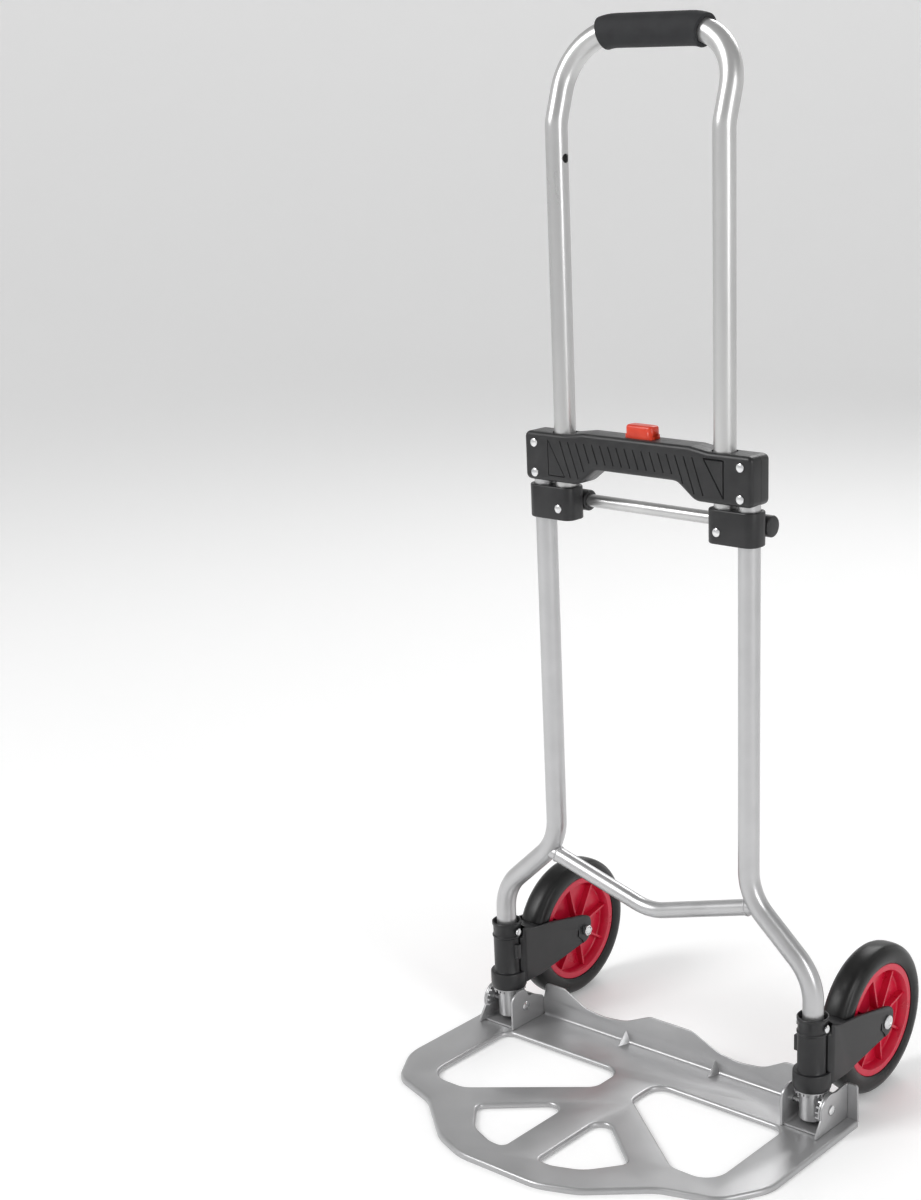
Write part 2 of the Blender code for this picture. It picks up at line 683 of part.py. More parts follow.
def add_wheel(word, side, arm):
    """Tyre, rim and hub bush, modelled about Z and laid on the axle's line."""
    centre = (side * LEG_HALF_WIDTH, AXLE_Y, WHEEL_R)
    wheel = new_empty(f"wheel_{word}_axle", centre, arm)
    turn = (0, pi / 2, 0)
    half = WHEEL_WIDTH / 2
    seat_r = RIM_R + GAP
    tread = [
        (seat_r, -half + 2 * MM),
        (WHEEL_R - 10 * MM, -half),
        (WHEEL_R - 3 * MM, -half + 3 * MM),
        (WHEEL_R, -half + 9 * MM),
    ]
    tyre = tread + [(r, -z) for r, z in reversed(tread)]
    add_piece(f"tyre_{word}", turned(tyre, 32), wheel, "tyre_rubber", centre, turn)
    add_rim(word, wheel, centre, turn)
    inner = AXLE_R + GAP
    bush_r = inner + HUB_BUSH_WALL
    bush_half = ARM_HALF_WIDTH - ARM_PLATE - GAP
    profile = [(inner, -bush_half), (bush_r, -bush_half), (bush_r, bush_half), (inner, bush_half)]
    add_piece(f"wheel_bush_{word}", turned(profile, 14), wheel, "zinc", centre, turn)


def add_rim(word, wheel, centre, turn):
    """A moulded disc: barrel, web, hub and ribs on both faces."""
    half = RIM_WIDTH / 2
    web = 2.5 * MM
    barrel_r = RIM_R - 5 * MM
    bore = AXLE_R + GAP + HUB_BUSH_WALL + GAP
    outside = [(RIM_R, half), (barrel_r, half), (barrel_r - 2 * MM, web)]
    upper = outside + [(HUB_R, web), (HUB_R - 1 * MM, half), (bore, half)]
    profile = [(r, -z) for r, z in reversed(upper)] + upper
    rim = add_piece(f"rim_{word}", turned(profile, 24), wheel, "rim_plastic", centre, turn)
    for i in range(RIB_COUNT):
        boolean(rim, rib_mesh(2 * pi * i / RIB_COUNT, bore, barrel_r), centre, turn, "UNION")


def rib_mesh(angle, inner_r, outer_r):
    """One rib, on both faces of the web, running from the hub to the barrel."""
    high = RIM_WIDTH / 2 - RIB_DROP
    sunk = RIB_THICK / 2  # into the hub and the barrel
    mesh = box((inner_r + sunk, -RIB_THICK / 2, -high), (outer_r + sunk, RIB_THICK / 2, high))
    mesh.transform(Matrix.Rotation(angle, 4, "Z"))
    return mesh


# ---- wheel arms ----


def arm_side_outline():
    """Side view of the fork, as (y, z): a tall block behind the sleeve that narrows to the axle."""
    end_y = AXLE_Y + 11 * MM
    return rounded(
        [
            (2 * MM, ARM_LOW_Z, 2 * MM),
            (30 * MM, ARM_LOW_Z, 8 * MM),
            (64 * MM, WHEEL_R - 20 * MM, 20 * MM),
            (end_y - 6 * MM, WHEEL_R - 14 * MM, 10 * MM),
            (end_y, WHEEL_R - 3 * MM, 6 * MM),
            (end_y, WHEEL_R + 12 * MM, 9 * MM),
            (end_y - 13 * MM, WHEEL_R + 17 * MM, 9 * MM),
            (52 * MM, ARM_TOP_Z - 10 * MM, 30 * MM),
            (16 * MM, ARM_TOP_Z - 5 * MM, 20 * MM),
            (2 * MM, ARM_TOP_Z, 2 * MM),
        ]
    )


def add_arm(word, side):
    x = side * LEG_HALF_WIDTH
    arm = new_empty(f"wheel_arm_{word}_pivot", (x, 0, PIN_Z), ROOT)
    w = ARM_HALF_WIDTH
    far_y = AXLE_Y + 40 * MM
    piece = add_piece(f"wheel_arm_{word}", side_plate(arm_side_outline(), 2 * w, x), arm, "black_plastic")
    front = [(x - w, ARM_FRONT_Y, ARM_CORNER_R), (x + w, ARM_FRONT_Y, ARM_CORNER_R)]
    plan = rounded(front + [(x + w, far_y, 0), (x - w, far_y, 0)])
    boolean(piece, flat_mesh([plan], 1), operation="INTERSECT")
    seat_inner, seat_outer = GEAR_R - GEAR_FACE / 2 - GAP, GEAR_R + GEAR_FACE / 2 + GAP
    profile = [
        (0, SKIRT_LOW_Z),
        (seat_inner, SKIRT_LOW_Z),
        (seat_inner, SKIRT_LOW_Z + GEAR_SEAT),
        (seat_outer, SKIRT_LOW_Z + GEAR_SEAT),
        (seat_outer, SKIRT_LOW_Z),
        (SKIRT_R - 0.8 * MM, SKIRT_LOW_Z),
        (SKIRT_R, SKIRT_LOW_Z + GEAR_SEAT),
        (SKIRT_R, SKIRT_TOP_Z),
        (SLEEVE_R, SKIRT_TOP_Z + 1 * MM),
        (SLEEVE_R, SLEEVE_TOP_Z + 1 * MM),
        (0, SLEEVE_TOP_Z + 1 * MM),
    ]
    boolean(piece, turned(profile), (x, 0, 0), operation="UNION")
    inside = w - ARM_PLATE
    room = WHEEL_R + WHEEL_CLEAR
    boolean(piece, rod(room, (x - inside, AXLE_Y, WHEEL_R), (x + inside, AXLE_Y, WHEEL_R), 32))
    boolean(piece, rod(AXLE_R + GAP, (x - 2 * w, AXLE_Y, WHEEL_R), (x + 2 * w, AXLE_Y, WHEEL_R), 12))
    ring_clear = RING_R + RIVET_HEAD_H + 4 * GAP
    high = 2 * ARM_TOP_Z
    bore = [(0, 0), (CHANNEL_R, 0), (CHANNEL_R, SLEEVE_TOP_Z)]
    ring_room = [(ring_clear, SLEEVE_TOP_Z), (ring_clear, high), (0, high)]
    boolean(piece, turned(bore + ring_room), (x, 0, 0))
    add_crown_gear(word, x, arm)
    add_axle(word, side, arm)
    add_wheel(word, side, arm)


def add_axle(word, side, arm):
    """The axle bolt, its domed head outside, and the hexagon nut on its inner end."""
    centre = (side * LEG_HALF_WIDTH, AXLE_Y, WHEEL_R)
    turn = (0, side * pi / 2, 0)
    face = ARM_HALF_WIDTH + GAP
    end = -face - NUT_HEIGHT
    profile = [(0, end), (AXLE_R, end), (AXLE_R, face), *rivet_head(AXLE_HEAD_R, face, AXLE_HEAD_H)]
    add_piece(f"axle_bolt_{word}", turned(profile, 14), arm, "zinc", centre, turn)
    hexagon = rod(NUT_R, (0, 0, end), (0, 0, -face), 6)
    nut = add_piece(f"axle_nut_{word}", hexagon, arm, "zinc", centre, turn)
    boolean(nut, rod(AXLE_R + GAP, (0, 0, 2 * end), (0, 0, 0), 12), centre, turn)


# ---- gears ----


def gear_teeth(first, last, low, high):
    """Separate teeth round Z from one tooth number to another, standing from low to high along Z."""
    pitch = 2 * pi / GEAR_TEETH
    half_width = GEAR_R * TOOTH_SHARE * pitch / 2
    inner = GEAR_R - GEAR_FACE / 2 + 0.1 * MM
    outer = GEAR_R + GEAR_FACE / 2 - 0.1 * MM
    bm = bmesh.new()
    number = first
    while number <= last:
        tooth = box((inner, -half_width, low), (outer, half_width, high))
        tooth.transform(Matrix.Rotation(number * pitch, 4, "Z"))
        bm.from_mesh(tooth)
        number += 1
    return mesh_from(bm, "teeth")


def tooth_tip():
    """How near each gear's teeth come to the other gear's axis."""
    return GEAR_R - GEAR_FACE / 2 + TOOTH_CLEAR


def tooth_root():
    return GEAR_R + GEAR_FACE / 2 + TOOTH_CLEAR


def add_crown_gear(word, x, arm):
    """A steel ring with teeth on its lower edge, pressed into the arm's skirt."""
    inner, outer = GEAR_R - GEAR_FACE / 2, GEAR_R + GEAR_FACE / 2
    root, top = PIN_Z + tooth_root(), SKIRT_LOW_Z + GEAR_SEAT - GAP
    ring = turned([(inner, root), (outer, root), (outer, top), (inner, top)], GEAR_TEETH)
    crown = add_piece(f"crown_gear_{word}", ring, arm, "gear_steel", (x, 0, 0))
    teeth = gear_teeth(0, GEAR_TEETH - 1, PIN_Z + tooth_tip(), root + 1 * MM)
    boolean(crown, teeth, (x, 0, 0), operation="UNION")


def add_gear_sector(word, side, plate):
    """A toothed rim on the outer ear. Its teeth point at the leg, half a pitch from the crown gear's."""
    x = side * LEG_HALF_WIDTH
    root, back = tooth_root(), EAR_INSIDE - GAP
    inner, outer = GEAR_R - GEAR_FACE / 2, GEAR_R + GEAR_FACE / 2
    first, last = -SECTOR_LEAD, SECTOR_REACH
    rim = arc((0, 0), outer, first, last, 10) + arc((0, 0), inner, last, first, 10)
    mesh = flat_mesh([rim], back - root)
    mesh.transform(Matrix.Translation((0, 0, -(back + root) / 2)))
    turn = Matrix(((0, 0, -side, 0), (0, -1, 0, 0), (1, 0, 0, 0), (0, 0, 0, 1)))
    mesh.transform(turn)
    if side > 0:
        mesh.flip_normals()
    sector = add_piece(f"gear_sector_{word}", mesh, plate, "plate_paint", (x, 0, PIN_Z))
    teeth = gear_teeth(-0.5, 5.5, -(root + 1 * MM), -tooth_tip())
    teeth.transform(turn)
    if side > 0:
        teeth.flip_normals()
    boolean(sector, teeth, (x, 0, PIN_Z), operation="UNION")


# ---- toe plate ----


def plate_outline():
    """Half of the plan view, from the middle of the front edge to the rear corner, made whole."""
    front, w, rear = PLATE_FRONT_Y, PLATE_HALF_WIDTH, BEHIND_PLATE_Y - 0.2 * MM
    half = [
        (0.21 * w, front, 60 * MM),
        (0.38 * w, front + 14 * MM, 60 * MM),
        (0.63 * w, front + 58 * MM, 45 * MM),
        (0.88 * w, front + 75 * MM, 35 * MM),
        (w, front + 117 * MM, 45 * MM),
        (w, rear, 4 * MM),
    ]
    return rounded(mirrored(half), step=16)


def plate_windows():
    """Two large windows beside the middle and two small ones in front, mirrored."""
    big = [
        (23 * MM, -24 * MM, 16 * MM),
        (23 * MM, -62.6 * MM, 14 * MM),
        (127 * MM, -139 * MM, 22 * MM),
        (172 * MM, -139 * MM, 28 * MM),
        (172 * MM, -24 * MM, 12 * MM),
    ]
    small = [
        (21 * MM, -101 * MM, 12 * MM),
        (21 * MM, -201 * MM, 6 * MM),
        (37 * MM, -201 * MM, 25 * MM),
        (66 * MM, -190 * MM, 35 * MM),
        (92 * MM, -158 * MM, 7 * MM),
    ]
    for window in (big, small):
        yield rounded(window, step=30)
        yield rounded([(-x, y, r) for x, y, r in window], step=30)


def pressed_sheet():
    """The plate's upper surface with its outer rim and the windows' lips turned down, as an open surface."""
    outline = plate_outline()
    mesh = flat_mesh([outline, *plate_windows()], 0)
    rim_points = {(round(p[0], 5), round(p[1], 5)) for p in outline}
    bm = bmesh.new()
    bm.from_mesh(mesh)
    bmesh.ops.triangulate(bm, faces=bm.faces)
    bmesh.ops.beautify_fill(bm, faces=bm.faces, edges=bm.edges)
    border = [edge for edge in bm.edges if edge.is_boundary]
    made = bmesh.ops.extrude_edge_only(bm, edges=border)["geom"]
    for vert in made:
        if isinstance(vert, bmesh.types.BMVert):
            on_rim = (round(vert.co.x, 5), round(vert.co.y, 5)) in rim_points
            vert.co.z -= PLATE_TOP_Z if on_rim else WINDOW_LIP
    bmesh.ops.recalc_face_normals(bm, faces=bm.faces)
    if max(bm.faces, key=lambda face: face.normal.z).normal.z < 0.5:
        bmesh.ops.reverse_faces(bm, faces=bm.faces)
    bmesh.ops.translate(bm, vec=(0, 0, PLATE_TOP_Z), verts=bm.verts)
    bm.to_mesh(mesh)
    bm.free()
    return mesh


def flange_outline():
    """The rear flange as (x, z): high in the middle and beside the hinges, low behind each wheel arm."""
    top = FLANGE_HEIGHT
    inner, outer = LEG_HALF_WIDTH - EAR_INSIDE - EAR_THICK, LEG_HALF_WIDTH + EAR_INSIDE + EAR_THICK
    half = [
        (26 * MM, top, 14 * MM),
        (57 * MM, top - 14 * MM, 45 * MM),
        (85 * MM, top - 17.5 * MM, 60 * MM),
        (112 * MM, top - 14 * MM, 40 * MM),
        (138 * MM, top, 14 * MM),
        (inner - 4 * MM, top, 4 * MM),
        (inner, PIN_Z - 2 * MM, 2 * MM),
        (outer - EAR_THICK, PIN_Z - 2 * MM, 2 * MM),
        (outer - EAR_THICK, top, 1 * MM),
        (PLATE_HALF_WIDTH - 2 * MM, top, 3 * MM),
        (PLATE_HALF_WIDTH - 1 * MM, PLATE_TOP_Z - SHEET, 0),
    ]
    return rounded(mirrored(half), step=18)


def add_toe_plate():
    plate = new_empty("toe_plate_hinge", (0, 0, PIN_Z), ROOT)
    sheet = add_piece("toe_plate", pressed_sheet(), plate, "plate_paint")
    add_wall(sheet, SHEET)
    boolean(sheet, front_plate(flange_outline(), SHEET, FLANGE_Y + SHEET / 2), operation="UNION")
    back, low = FLANGE_Y + SHEET / 2, PLATE_TOP_Z - SHEET / 2
    corners = [(back, low), (back, PLATE_TOP_Z + GUSSET_SIZE), (FLANGE_Y - GUSSET_SIZE, low)]
    for side in SIDES.values():
        boolean(sheet, side_plate(corners, GUSSET_SIZE / 2, side * GUSSET_X), operation="UNION")
    for word, side in SIDES.items():
        add_hinge_bracket(word, side, plate)
        add_gear_sector(word, side, plate)
        add_hinge_pin(word, side, plate)


def add_hinge_bracket(word, side, plate):
    """Two ears joined by a base strip that is welded to the plate; the outer ear carries the gear sector."""
    x = side * LEG_HALF_WIDTH
    low, rear = PLATE_TOP_Z + GAP, FLANGE_Y - GAP
    radius = GEAR_R + GEAR_FACE / 2
    middle = EAR_INSIDE + EAR_THICK / 2
    outer = [(-25 * MM, low), (-25 * MM, low + 3 * MM)]
    outer += arc((0, PIN_Z), radius, 195, 90, 7)
    outer += [(9 * MM, PIN_Z + 15 * MM), (20 * MM, PIN_Z + 16 * MM), (rear, PIN_Z + 16 * MM), (rear, low)]
    inner = rounded(
        [
            (-21 * MM, low, 0),
            (-21 * MM, PIN_Z + 14 * MM, 12 * MM),
            (-8 * MM, PIN_Z + 20 * MM, 6 * MM),
            (1 * MM, PIN_Z + 18 * MM, 3 * MM),
            (6 * MM, PIN_Z + 8 * MM, 3 * MM),
            (12 * MM, PIN_Z + 9 * MM, 2 * MM),
            (rear, PIN_Z + 1 * MM, 2 * MM),
            (rear, low, 0),
        ],
        step=30,
    )
    name = f"hinge_bracket_{word}"
    bracket = add_piece(name, side_plate(outer, EAR_THICK, x + side * middle), plate, "plate_paint")
    boolean(bracket, side_plate(inner, EAR_THICK, x - side * middle), operation="UNION")
    base = box((x - middle, -20 * MM, low), (x + middle, rear, low + BASE_THICK))
    boolean(bracket, base, operation="UNION")
    boolean(bracket, rod(PIN_R + GAP, (x - 2 * middle, 0, PIN_Z), (x + 2 * middle, 0, PIN_Z), 8))


def add_hinge_pin(word, side, plate):
    x = side * LEG_HALF_WIDTH
    mesh = rivet_mesh(PIN_R, PIN_HEAD_R, RIVET_HEAD_H, EAR_INSIDE + EAR_THICK + GAP)
    add_piece(f"hinge_pin_{word}", mesh, plate, "zinc", (x, 0, PIN_Z), (0, pi / 2, 0))


ROOT = new_empty("hand_truck_root", (0, 0, 0))
add_frame()
add_release_button()
add_handle()
add_toe_plate()
for word, side in SIDES.items():
    add_lock_bolt(word, side)
    add_arm(word, side)
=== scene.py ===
"""A folding hand truck, standing open and ready for use: its looks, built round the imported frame.

The row frame is in metres. +X is the right-hand wheel's side, -Y is where the toe plate points and +Z is up.
"""

import json
from math import cos, pi, radians, sin, tan

import bpy
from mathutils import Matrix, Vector

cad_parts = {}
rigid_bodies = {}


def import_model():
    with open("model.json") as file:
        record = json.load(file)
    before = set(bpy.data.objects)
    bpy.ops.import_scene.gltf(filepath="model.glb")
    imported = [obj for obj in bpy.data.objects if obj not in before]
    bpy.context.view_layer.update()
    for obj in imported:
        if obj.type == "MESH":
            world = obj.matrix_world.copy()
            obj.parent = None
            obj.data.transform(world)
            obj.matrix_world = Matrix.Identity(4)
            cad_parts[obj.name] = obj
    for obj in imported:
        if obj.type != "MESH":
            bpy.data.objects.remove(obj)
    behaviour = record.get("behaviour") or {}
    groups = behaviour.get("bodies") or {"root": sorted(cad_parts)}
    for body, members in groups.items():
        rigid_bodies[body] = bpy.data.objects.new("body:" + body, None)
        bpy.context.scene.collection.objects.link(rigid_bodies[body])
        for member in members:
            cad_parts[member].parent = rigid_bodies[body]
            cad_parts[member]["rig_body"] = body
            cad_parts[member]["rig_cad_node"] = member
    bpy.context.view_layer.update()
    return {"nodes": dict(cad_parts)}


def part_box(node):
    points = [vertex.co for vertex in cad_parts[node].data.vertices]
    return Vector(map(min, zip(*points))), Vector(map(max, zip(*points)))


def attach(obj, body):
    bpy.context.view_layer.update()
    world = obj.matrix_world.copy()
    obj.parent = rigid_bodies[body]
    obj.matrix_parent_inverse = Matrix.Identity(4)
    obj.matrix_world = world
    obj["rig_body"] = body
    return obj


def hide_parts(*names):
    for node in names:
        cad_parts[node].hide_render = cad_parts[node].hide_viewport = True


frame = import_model()
MM = 0.001


# ---- Studio ----
# A pale bowl of a floor that rises far behind the truck, three large soft lamps and the camera.
# The bowl is turned in one piece, so the floor has no edge from any side.

FLOOR_R = 5.0
BOWL_R = 1.6


def start_edit(choice="SELECT"):
    bpy.ops.object.mode_set(mode="EDIT")
    bpy.ops.mesh.select_all(action=choice)


def pull(offset):
    """Extrudes what is selected by an offset."""
    bpy.ops.mesh.extrude_region_move(TRANSFORM_OT_translate={"value": offset})


def draw(points, filled=True):
    """Pulls a vertex from point to point, and can fill the loop that this makes. Stays in edit mode."""
    bpy.ops.object.select_all(action="DESELECT")
    here = Vector(points[0])
    bpy.ops.mesh.primitive_plane_add(size=MM, location=here)
    start_edit()
    bpy.ops.mesh.merge(type="CENTER")
    for point in points[1:]:
        pull(Vector(point) - here)
        here = Vector(point)
    bpy.ops.mesh.select_all(action="SELECT")
    if filled:
        bpy.ops.mesh.edge_face_add()


def lathe(profile, centre, axis, steps=64, closed=True):
    """Turns (radius, height) points about an axis through a centre. Ends in object mode."""
    on_axis = profile[0][0] == 0 and profile[-1][0] == 0
    ring = profile + profile[:1] if closed and not on_axis else profile
    if axis == "X":
        draw([(centre[0] + h, centre[1], centre[2] + r) for r, h in ring], filled=False)
        around = (1, 0, 0)
    elif axis == "Y":
        draw([(centre[0] + r, centre[1] + h, centre[2]) for r, h in ring], filled=False)
        around = (0, 1, 0)
    else:
        draw([(centre[0] + r, centre[1], centre[2] + h) for r, h in ring], filled=False)
        around = (0, 0, 1)
    bpy.ops.mesh.spin(steps=steps, angle=2 * pi, center=centre, axis=around)
    tidy_mesh()


def tidy_mesh():
    """Merges doubles, turns every face outwards and goes back to object mode."""
    bpy.ops.mesh.select_all(action="SELECT")
    bpy.ops.mesh.remove_doubles(threshold=1e-6)
    bpy.ops.mesh.normals_make_consistent(inside=False)
    bpy.ops.object.mode_set(mode="OBJECT")


def arc(centre, radius, start, end, steps=8):
    """Points of an arc in a plane, from one angle to another in degrees."""
    turns = [radians(start + (end - start) * i / steps) for i in range(steps + 1)]
    return [(centre[0] + radius * cos(t), centre[1] + radius * sin(t)) for t in turns]


bpy.context.scene.view_settings.view_transform = "Standard"
world = bpy.data.worlds.new("studio")
world.use_nodes = True
world.node_tree.nodes["Background"].inputs["Color"].default_value = (1, 1, 1, 1)
world.node_tree.nodes["Background"].inputs["Strength"].default_value = 0.34
bpy.context.scene.world = world

wall = arc((FLOOR_R, BOWL_R), BOWL_R, -90, 0, 24)
lathe([(0, 0), *wall, (FLOOR_R + BOWL_R, 4)], (0, 0, 0), "Z", 96, closed=False)
floor = bpy.context.object
floor.name = "studio_floor"
bpy.ops.object.shade_smooth()
paper = bpy.data.materials.new("floor_paper")
paper.use_nodes = True
paper_shader = paper.node_tree.nodes["Principled BSDF"]
paper_shader.inputs["Base Color"].default_value = (0.93, 0.93, 0.93, 1)
paper_shader.inputs["Roughness"].default_value = 0.75
paper_shader.inputs["Emission Color"].default_value = (1, 1, 1, 1)
paper_shader.inputs["Emission Strength"].default_value = 0.14
floor.data.materials.append(paper)


def soft_lamp(name, place, aim, size, power):
    lamp = bpy.data.lights.new(name, "AREA")
    lamp.shape = "RECTANGLE"
    lamp.size, lamp.size_y = size
    lamp.energy = power
    holder = bpy.data.objects.new(name, lamp)
    bpy.context.scene.collection.objects.link(holder)
    holder.location = place
    holder.rotation_euler = (Vector(aim) - Vector(place)).to_track_quat("-Z", "Y").to_euler()


soft_lamp("key_lamp", (-1.6, -2.2, 2.6), (0, 0, 0.4), (1.2, 1.8), 58)
soft_lamp("side_lamp", (2.6, -0.6, 1.5), (0, 0, 0.5), (0.7, 2.0), 22)
soft_lamp("back_lamp", (-0.6, 2.4, 2.4), (0, 0, 0.5), (1.6, 1.2), 30)

camera = bpy.data.objects.new("camera", bpy.data.cameras.new("camera"))
bpy.context.scene.collection.objects.link(camera)
bpy.context.scene.camera = camera
camera.data.lens = 59.254
camera.data.shift_x = -0.1496
camera.data.shift_y = 0.15
camera.location = (1.0704, -1.3553, 0.9371)
camera.rotation_euler = [radians(turn) for turn in (70.260, 0.958, 37.623)]


# ---- Frame tubes ----
# Two steel tubes, 20 mm across, bent twice so that the legs stand wider than the handle. They are
# powder coated in satin silver.

TUBE_R = 10 * MM
TUBE_WALL = 1.5 * MM
TUBE_SIDES = 40
LEG_X = 187 * MM
POST_X = 115 * MM
BUSH_LOW, BUSH_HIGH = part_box("leg_bush_right")
TUBE_Y = (BUSH_LOW.y + BUSH_HIGH.y) / 2


def new_finish(
    name, slot, dark, light, metallic, roughness, patch, grain, depth, stretch=(1, 1, 1), mirror=0.5
):
    """A finish with two shades in soft patches, a range of roughness and a fine grain. Lengths are in mm."""
    made = bpy.data.materials.new(name)
    made["slot"] = slot
    made.use_nodes = True
    nodes, links = made.node_tree.nodes, made.node_tree.links
    shader = nodes["Principled BSDF"]
    shader.inputs["Metallic"].default_value = metallic
    shader.inputs["Specular IOR Level"].default_value = mirror
    place = nodes.new("ShaderNodeTexCoord")
    mapping = nodes.new("ShaderNodeMapping")
    mapping.inputs["Scale"].default_value = stretch
    links.new(place.outputs["Object"], mapping.inputs["Vector"])
    patches = nodes.new("ShaderNodeTexNoise")
    patches.inputs["Scale"].default_value = 1000 / patch
    patches.inputs["Detail"].default_value = 6
    links.new(mapping.outputs["Vector"], patches.inputs["Vector"])
    shades = nodes.new("ShaderNodeValToRGB")
    shades.color_ramp.elements[0].position, shades.color_ramp.elements[1].position = 0.32, 0.68
    shades.color_ramp.elements[0].color = (*dark, 1)
    shades.color_ramp.elements[1].color = (*light, 1)
    links.new(patches.outputs["Fac"], shades.inputs["Fac"])
    links.new(shades.outputs["Color"], shader.inputs["Base Color"])
    fine = nodes.new("ShaderNodeTexNoise")
    fine.inputs["Scale"].default_value = 1000 / grain
    fine.inputs["Detail"].default_value = 4
    links.new(mapping.outputs["Vector"], fine.inputs["Vector"])
    shine = nodes.new("ShaderNodeMapRange")
    shine.inputs["From Min"].default_value, shine.inputs["From Max"].default_value = 0.3, 0.7
    shine.inputs["To Min"].default_value, shine.inputs["To Max"].default_value = roughness
    links.new(patches.outputs["Fac"], shine.inputs["Value"])
    links.new(shine.outputs["Result"], shader.inputs["Roughness"])
    bump = nodes.new("ShaderNodeBump")
    bump.inputs["Strength"].default_value = 1
    bump.inputs["Distance"].default_value = depth * MM
    links.new(fine.outputs["Fac"], bump.inputs["Height"])
    links.new(bump.outputs["Normal"], shader.inputs["Normal"])
    return made


silver = new_finish(
    "satin_silver_coat", "silver_paint", (0.50, 0.50, 0.505), (0.55, 0.55, 0.555),
    metallic=0.8, roughness=(0.28, 0.36), patch=30, grain=0.7, depth=0.02,
)


def modify(kind, **settings):
    """Adds a modifier to the active piece and applies it."""
    piece = bpy.context.object
    step = piece.modifiers.new(kind.lower(), kind)
    for setting, value in settings.items():
        setattr(step, setting, value)
    bpy.ops.object.modifier_apply(modifier=step.name)


def combine(tools, operation="DIFFERENCE"):
    """Cuts, joins or intersects the active piece with other objects, which are then removed."""
    piece = bpy.context.object
    for tool in tools:
        modify("BOOLEAN", object=tool, operation=operation, solver="EXACT")
        bpy.data.objects.remove(tool)
    activate(piece)


def activate(piece):
    bpy.ops.object.select_all(action="DESELECT")
    piece.select_set(True)
    bpy.context.view_layer.objects.active = piece


def bar(start, end, radius, sides=24):
    """A round bar between two points, left active."""
    along = Vector(end) - Vector(start)
    middle = (Vector(start) + Vector(end)) / 2
    turn = along.to_track_quat("Z", "Y").to_euler()
    bpy.ops.object.select_all(action="DESELECT")
    bpy.ops.mesh.primitive_cylinder_add(
        vertices=sides, radius=radius, depth=along.length, location=middle, rotation=turn
    )
    bpy.ops.object.transform_apply()
    return bpy.context.object


def place(name, finish, body, *stands_for, sharp=30):
    """Finishes the active piece: its place goes into its mesh, and it gets its finish and its body."""
    piece = bpy.context.object
    activate(piece)
    bpy.ops.object.transform_apply()
    bpy.ops.object.shade_smooth_by_angle(angle=radians(sharp))
    piece.name = piece.data.name = name
    piece.data.materials.clear()
    piece.data.materials.append(finish)
    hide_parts(*stands_for)
    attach(piece, body)
    return piece


def place_pair(name, finish, body, *stands_for, sharp=30):
    """Places the active piece on the right and its mirror image on the left. {} is the side's name."""
    right = bpy.context.object
    activate(right)
    bpy.ops.object.transform_apply()
    bpy.ops.object.duplicate()
    left = bpy.context.object
    left.scale.x = -1
    bpy.ops.object.transform_apply()
    start_edit()
    bpy.ops.mesh.normals_make_consistent(inside=False)
    bpy.ops.object.mode_set(mode="OBJECT")
    for piece, side in ((left, "left"), (right, "right")):
        activate(piece)
        nodes = [node.format(side) for node in stands_for]
        place(name.format(side), finish, body.format(side), *nodes, sharp=sharp)


def ring(place_at, radius, sides=TUBE_SIDES, turn=(0, 0, 0)):
    """The open end of a tube: a circle, left in edit mode and selected."""
    bpy.ops.object.select_all(action="DESELECT")
    bpy.ops.mesh.primitive_circle_add(vertices=sides, radius=radius, location=place_at, rotation=turn)
    bpy.ops.object.transform_apply()
    start_edit()


def bend(centre, axis, degrees, steps=14):
    """Carries the selected end of a tube round a bend, right-handed about an axis."""
    bpy.ops.mesh.spin(steps=steps, angle=-radians(degrees), center=centre, axis=axis)


def wall_up(thickness, offset=-1):
    """Closes edit mode and gives an open tube or sheet its wall."""
    tidy_mesh()
    modify("SOLIDIFY", thickness=thickness, offset=offset, use_even_offset=True)


LEG_BEND_R = 55 * MM
LEG_SPLAY = 47.7  # degrees
UPPER_BEND_Z = 220.3 * MM
LOWER_BEND_Z = 154.8 * MM
bend_reach = LEG_BEND_R * tan(radians(LEG_SPLAY / 2))
tube_low, tube_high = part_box("frame_tube_right")

ring((POST_X, TUBE_Y, tube_high.z), TUBE_R)
pull((0, 0, UPPER_BEND_Z + bend_reach - tube_high.z))
bend((POST_X + LEG_BEND_R, TUBE_Y, UPPER_BEND_Z + bend_reach), (0, 1, 0), -LEG_SPLAY)
slope = Vector((LEG_X - POST_X, 0, LOWER_BEND_Z - UPPER_BEND_Z))
pull(slope.normalized() * (slope.length - 2 * bend_reach))
bend((LEG_X - LEG_BEND_R, TUBE_Y, LOWER_BEND_Z - bend_reach), (0, 1, 0), LEG_SPLAY)
pull((0, 0, tube_low.z - LOWER_BEND_Z + bend_reach))
wall_up(TUBE_WALL)
place_pair("leg_tube_{}", silver, "frame", "frame_tube_{}")


# ---- Cross brace ----
# A thinner steel tube in a shallow V between the legs, coated with them. A bead of weld runs round
# each end where it meets its leg.

BRACE_R = 7.8 * MM
BRACE_END = Vector((POST_X + 6 * MM, TUBE_Y, 209.6 * MM))
BRACE_DIP_Z = 175.3 * MM
BRACE_BEND_R = 60 * MM
BRACE_WALL = 1.3 * MM
WELD_R = 0.9 * MM
WELD_FROM_END = 7.5 * MM
WELD_RIPPLE = 0.8 * MM

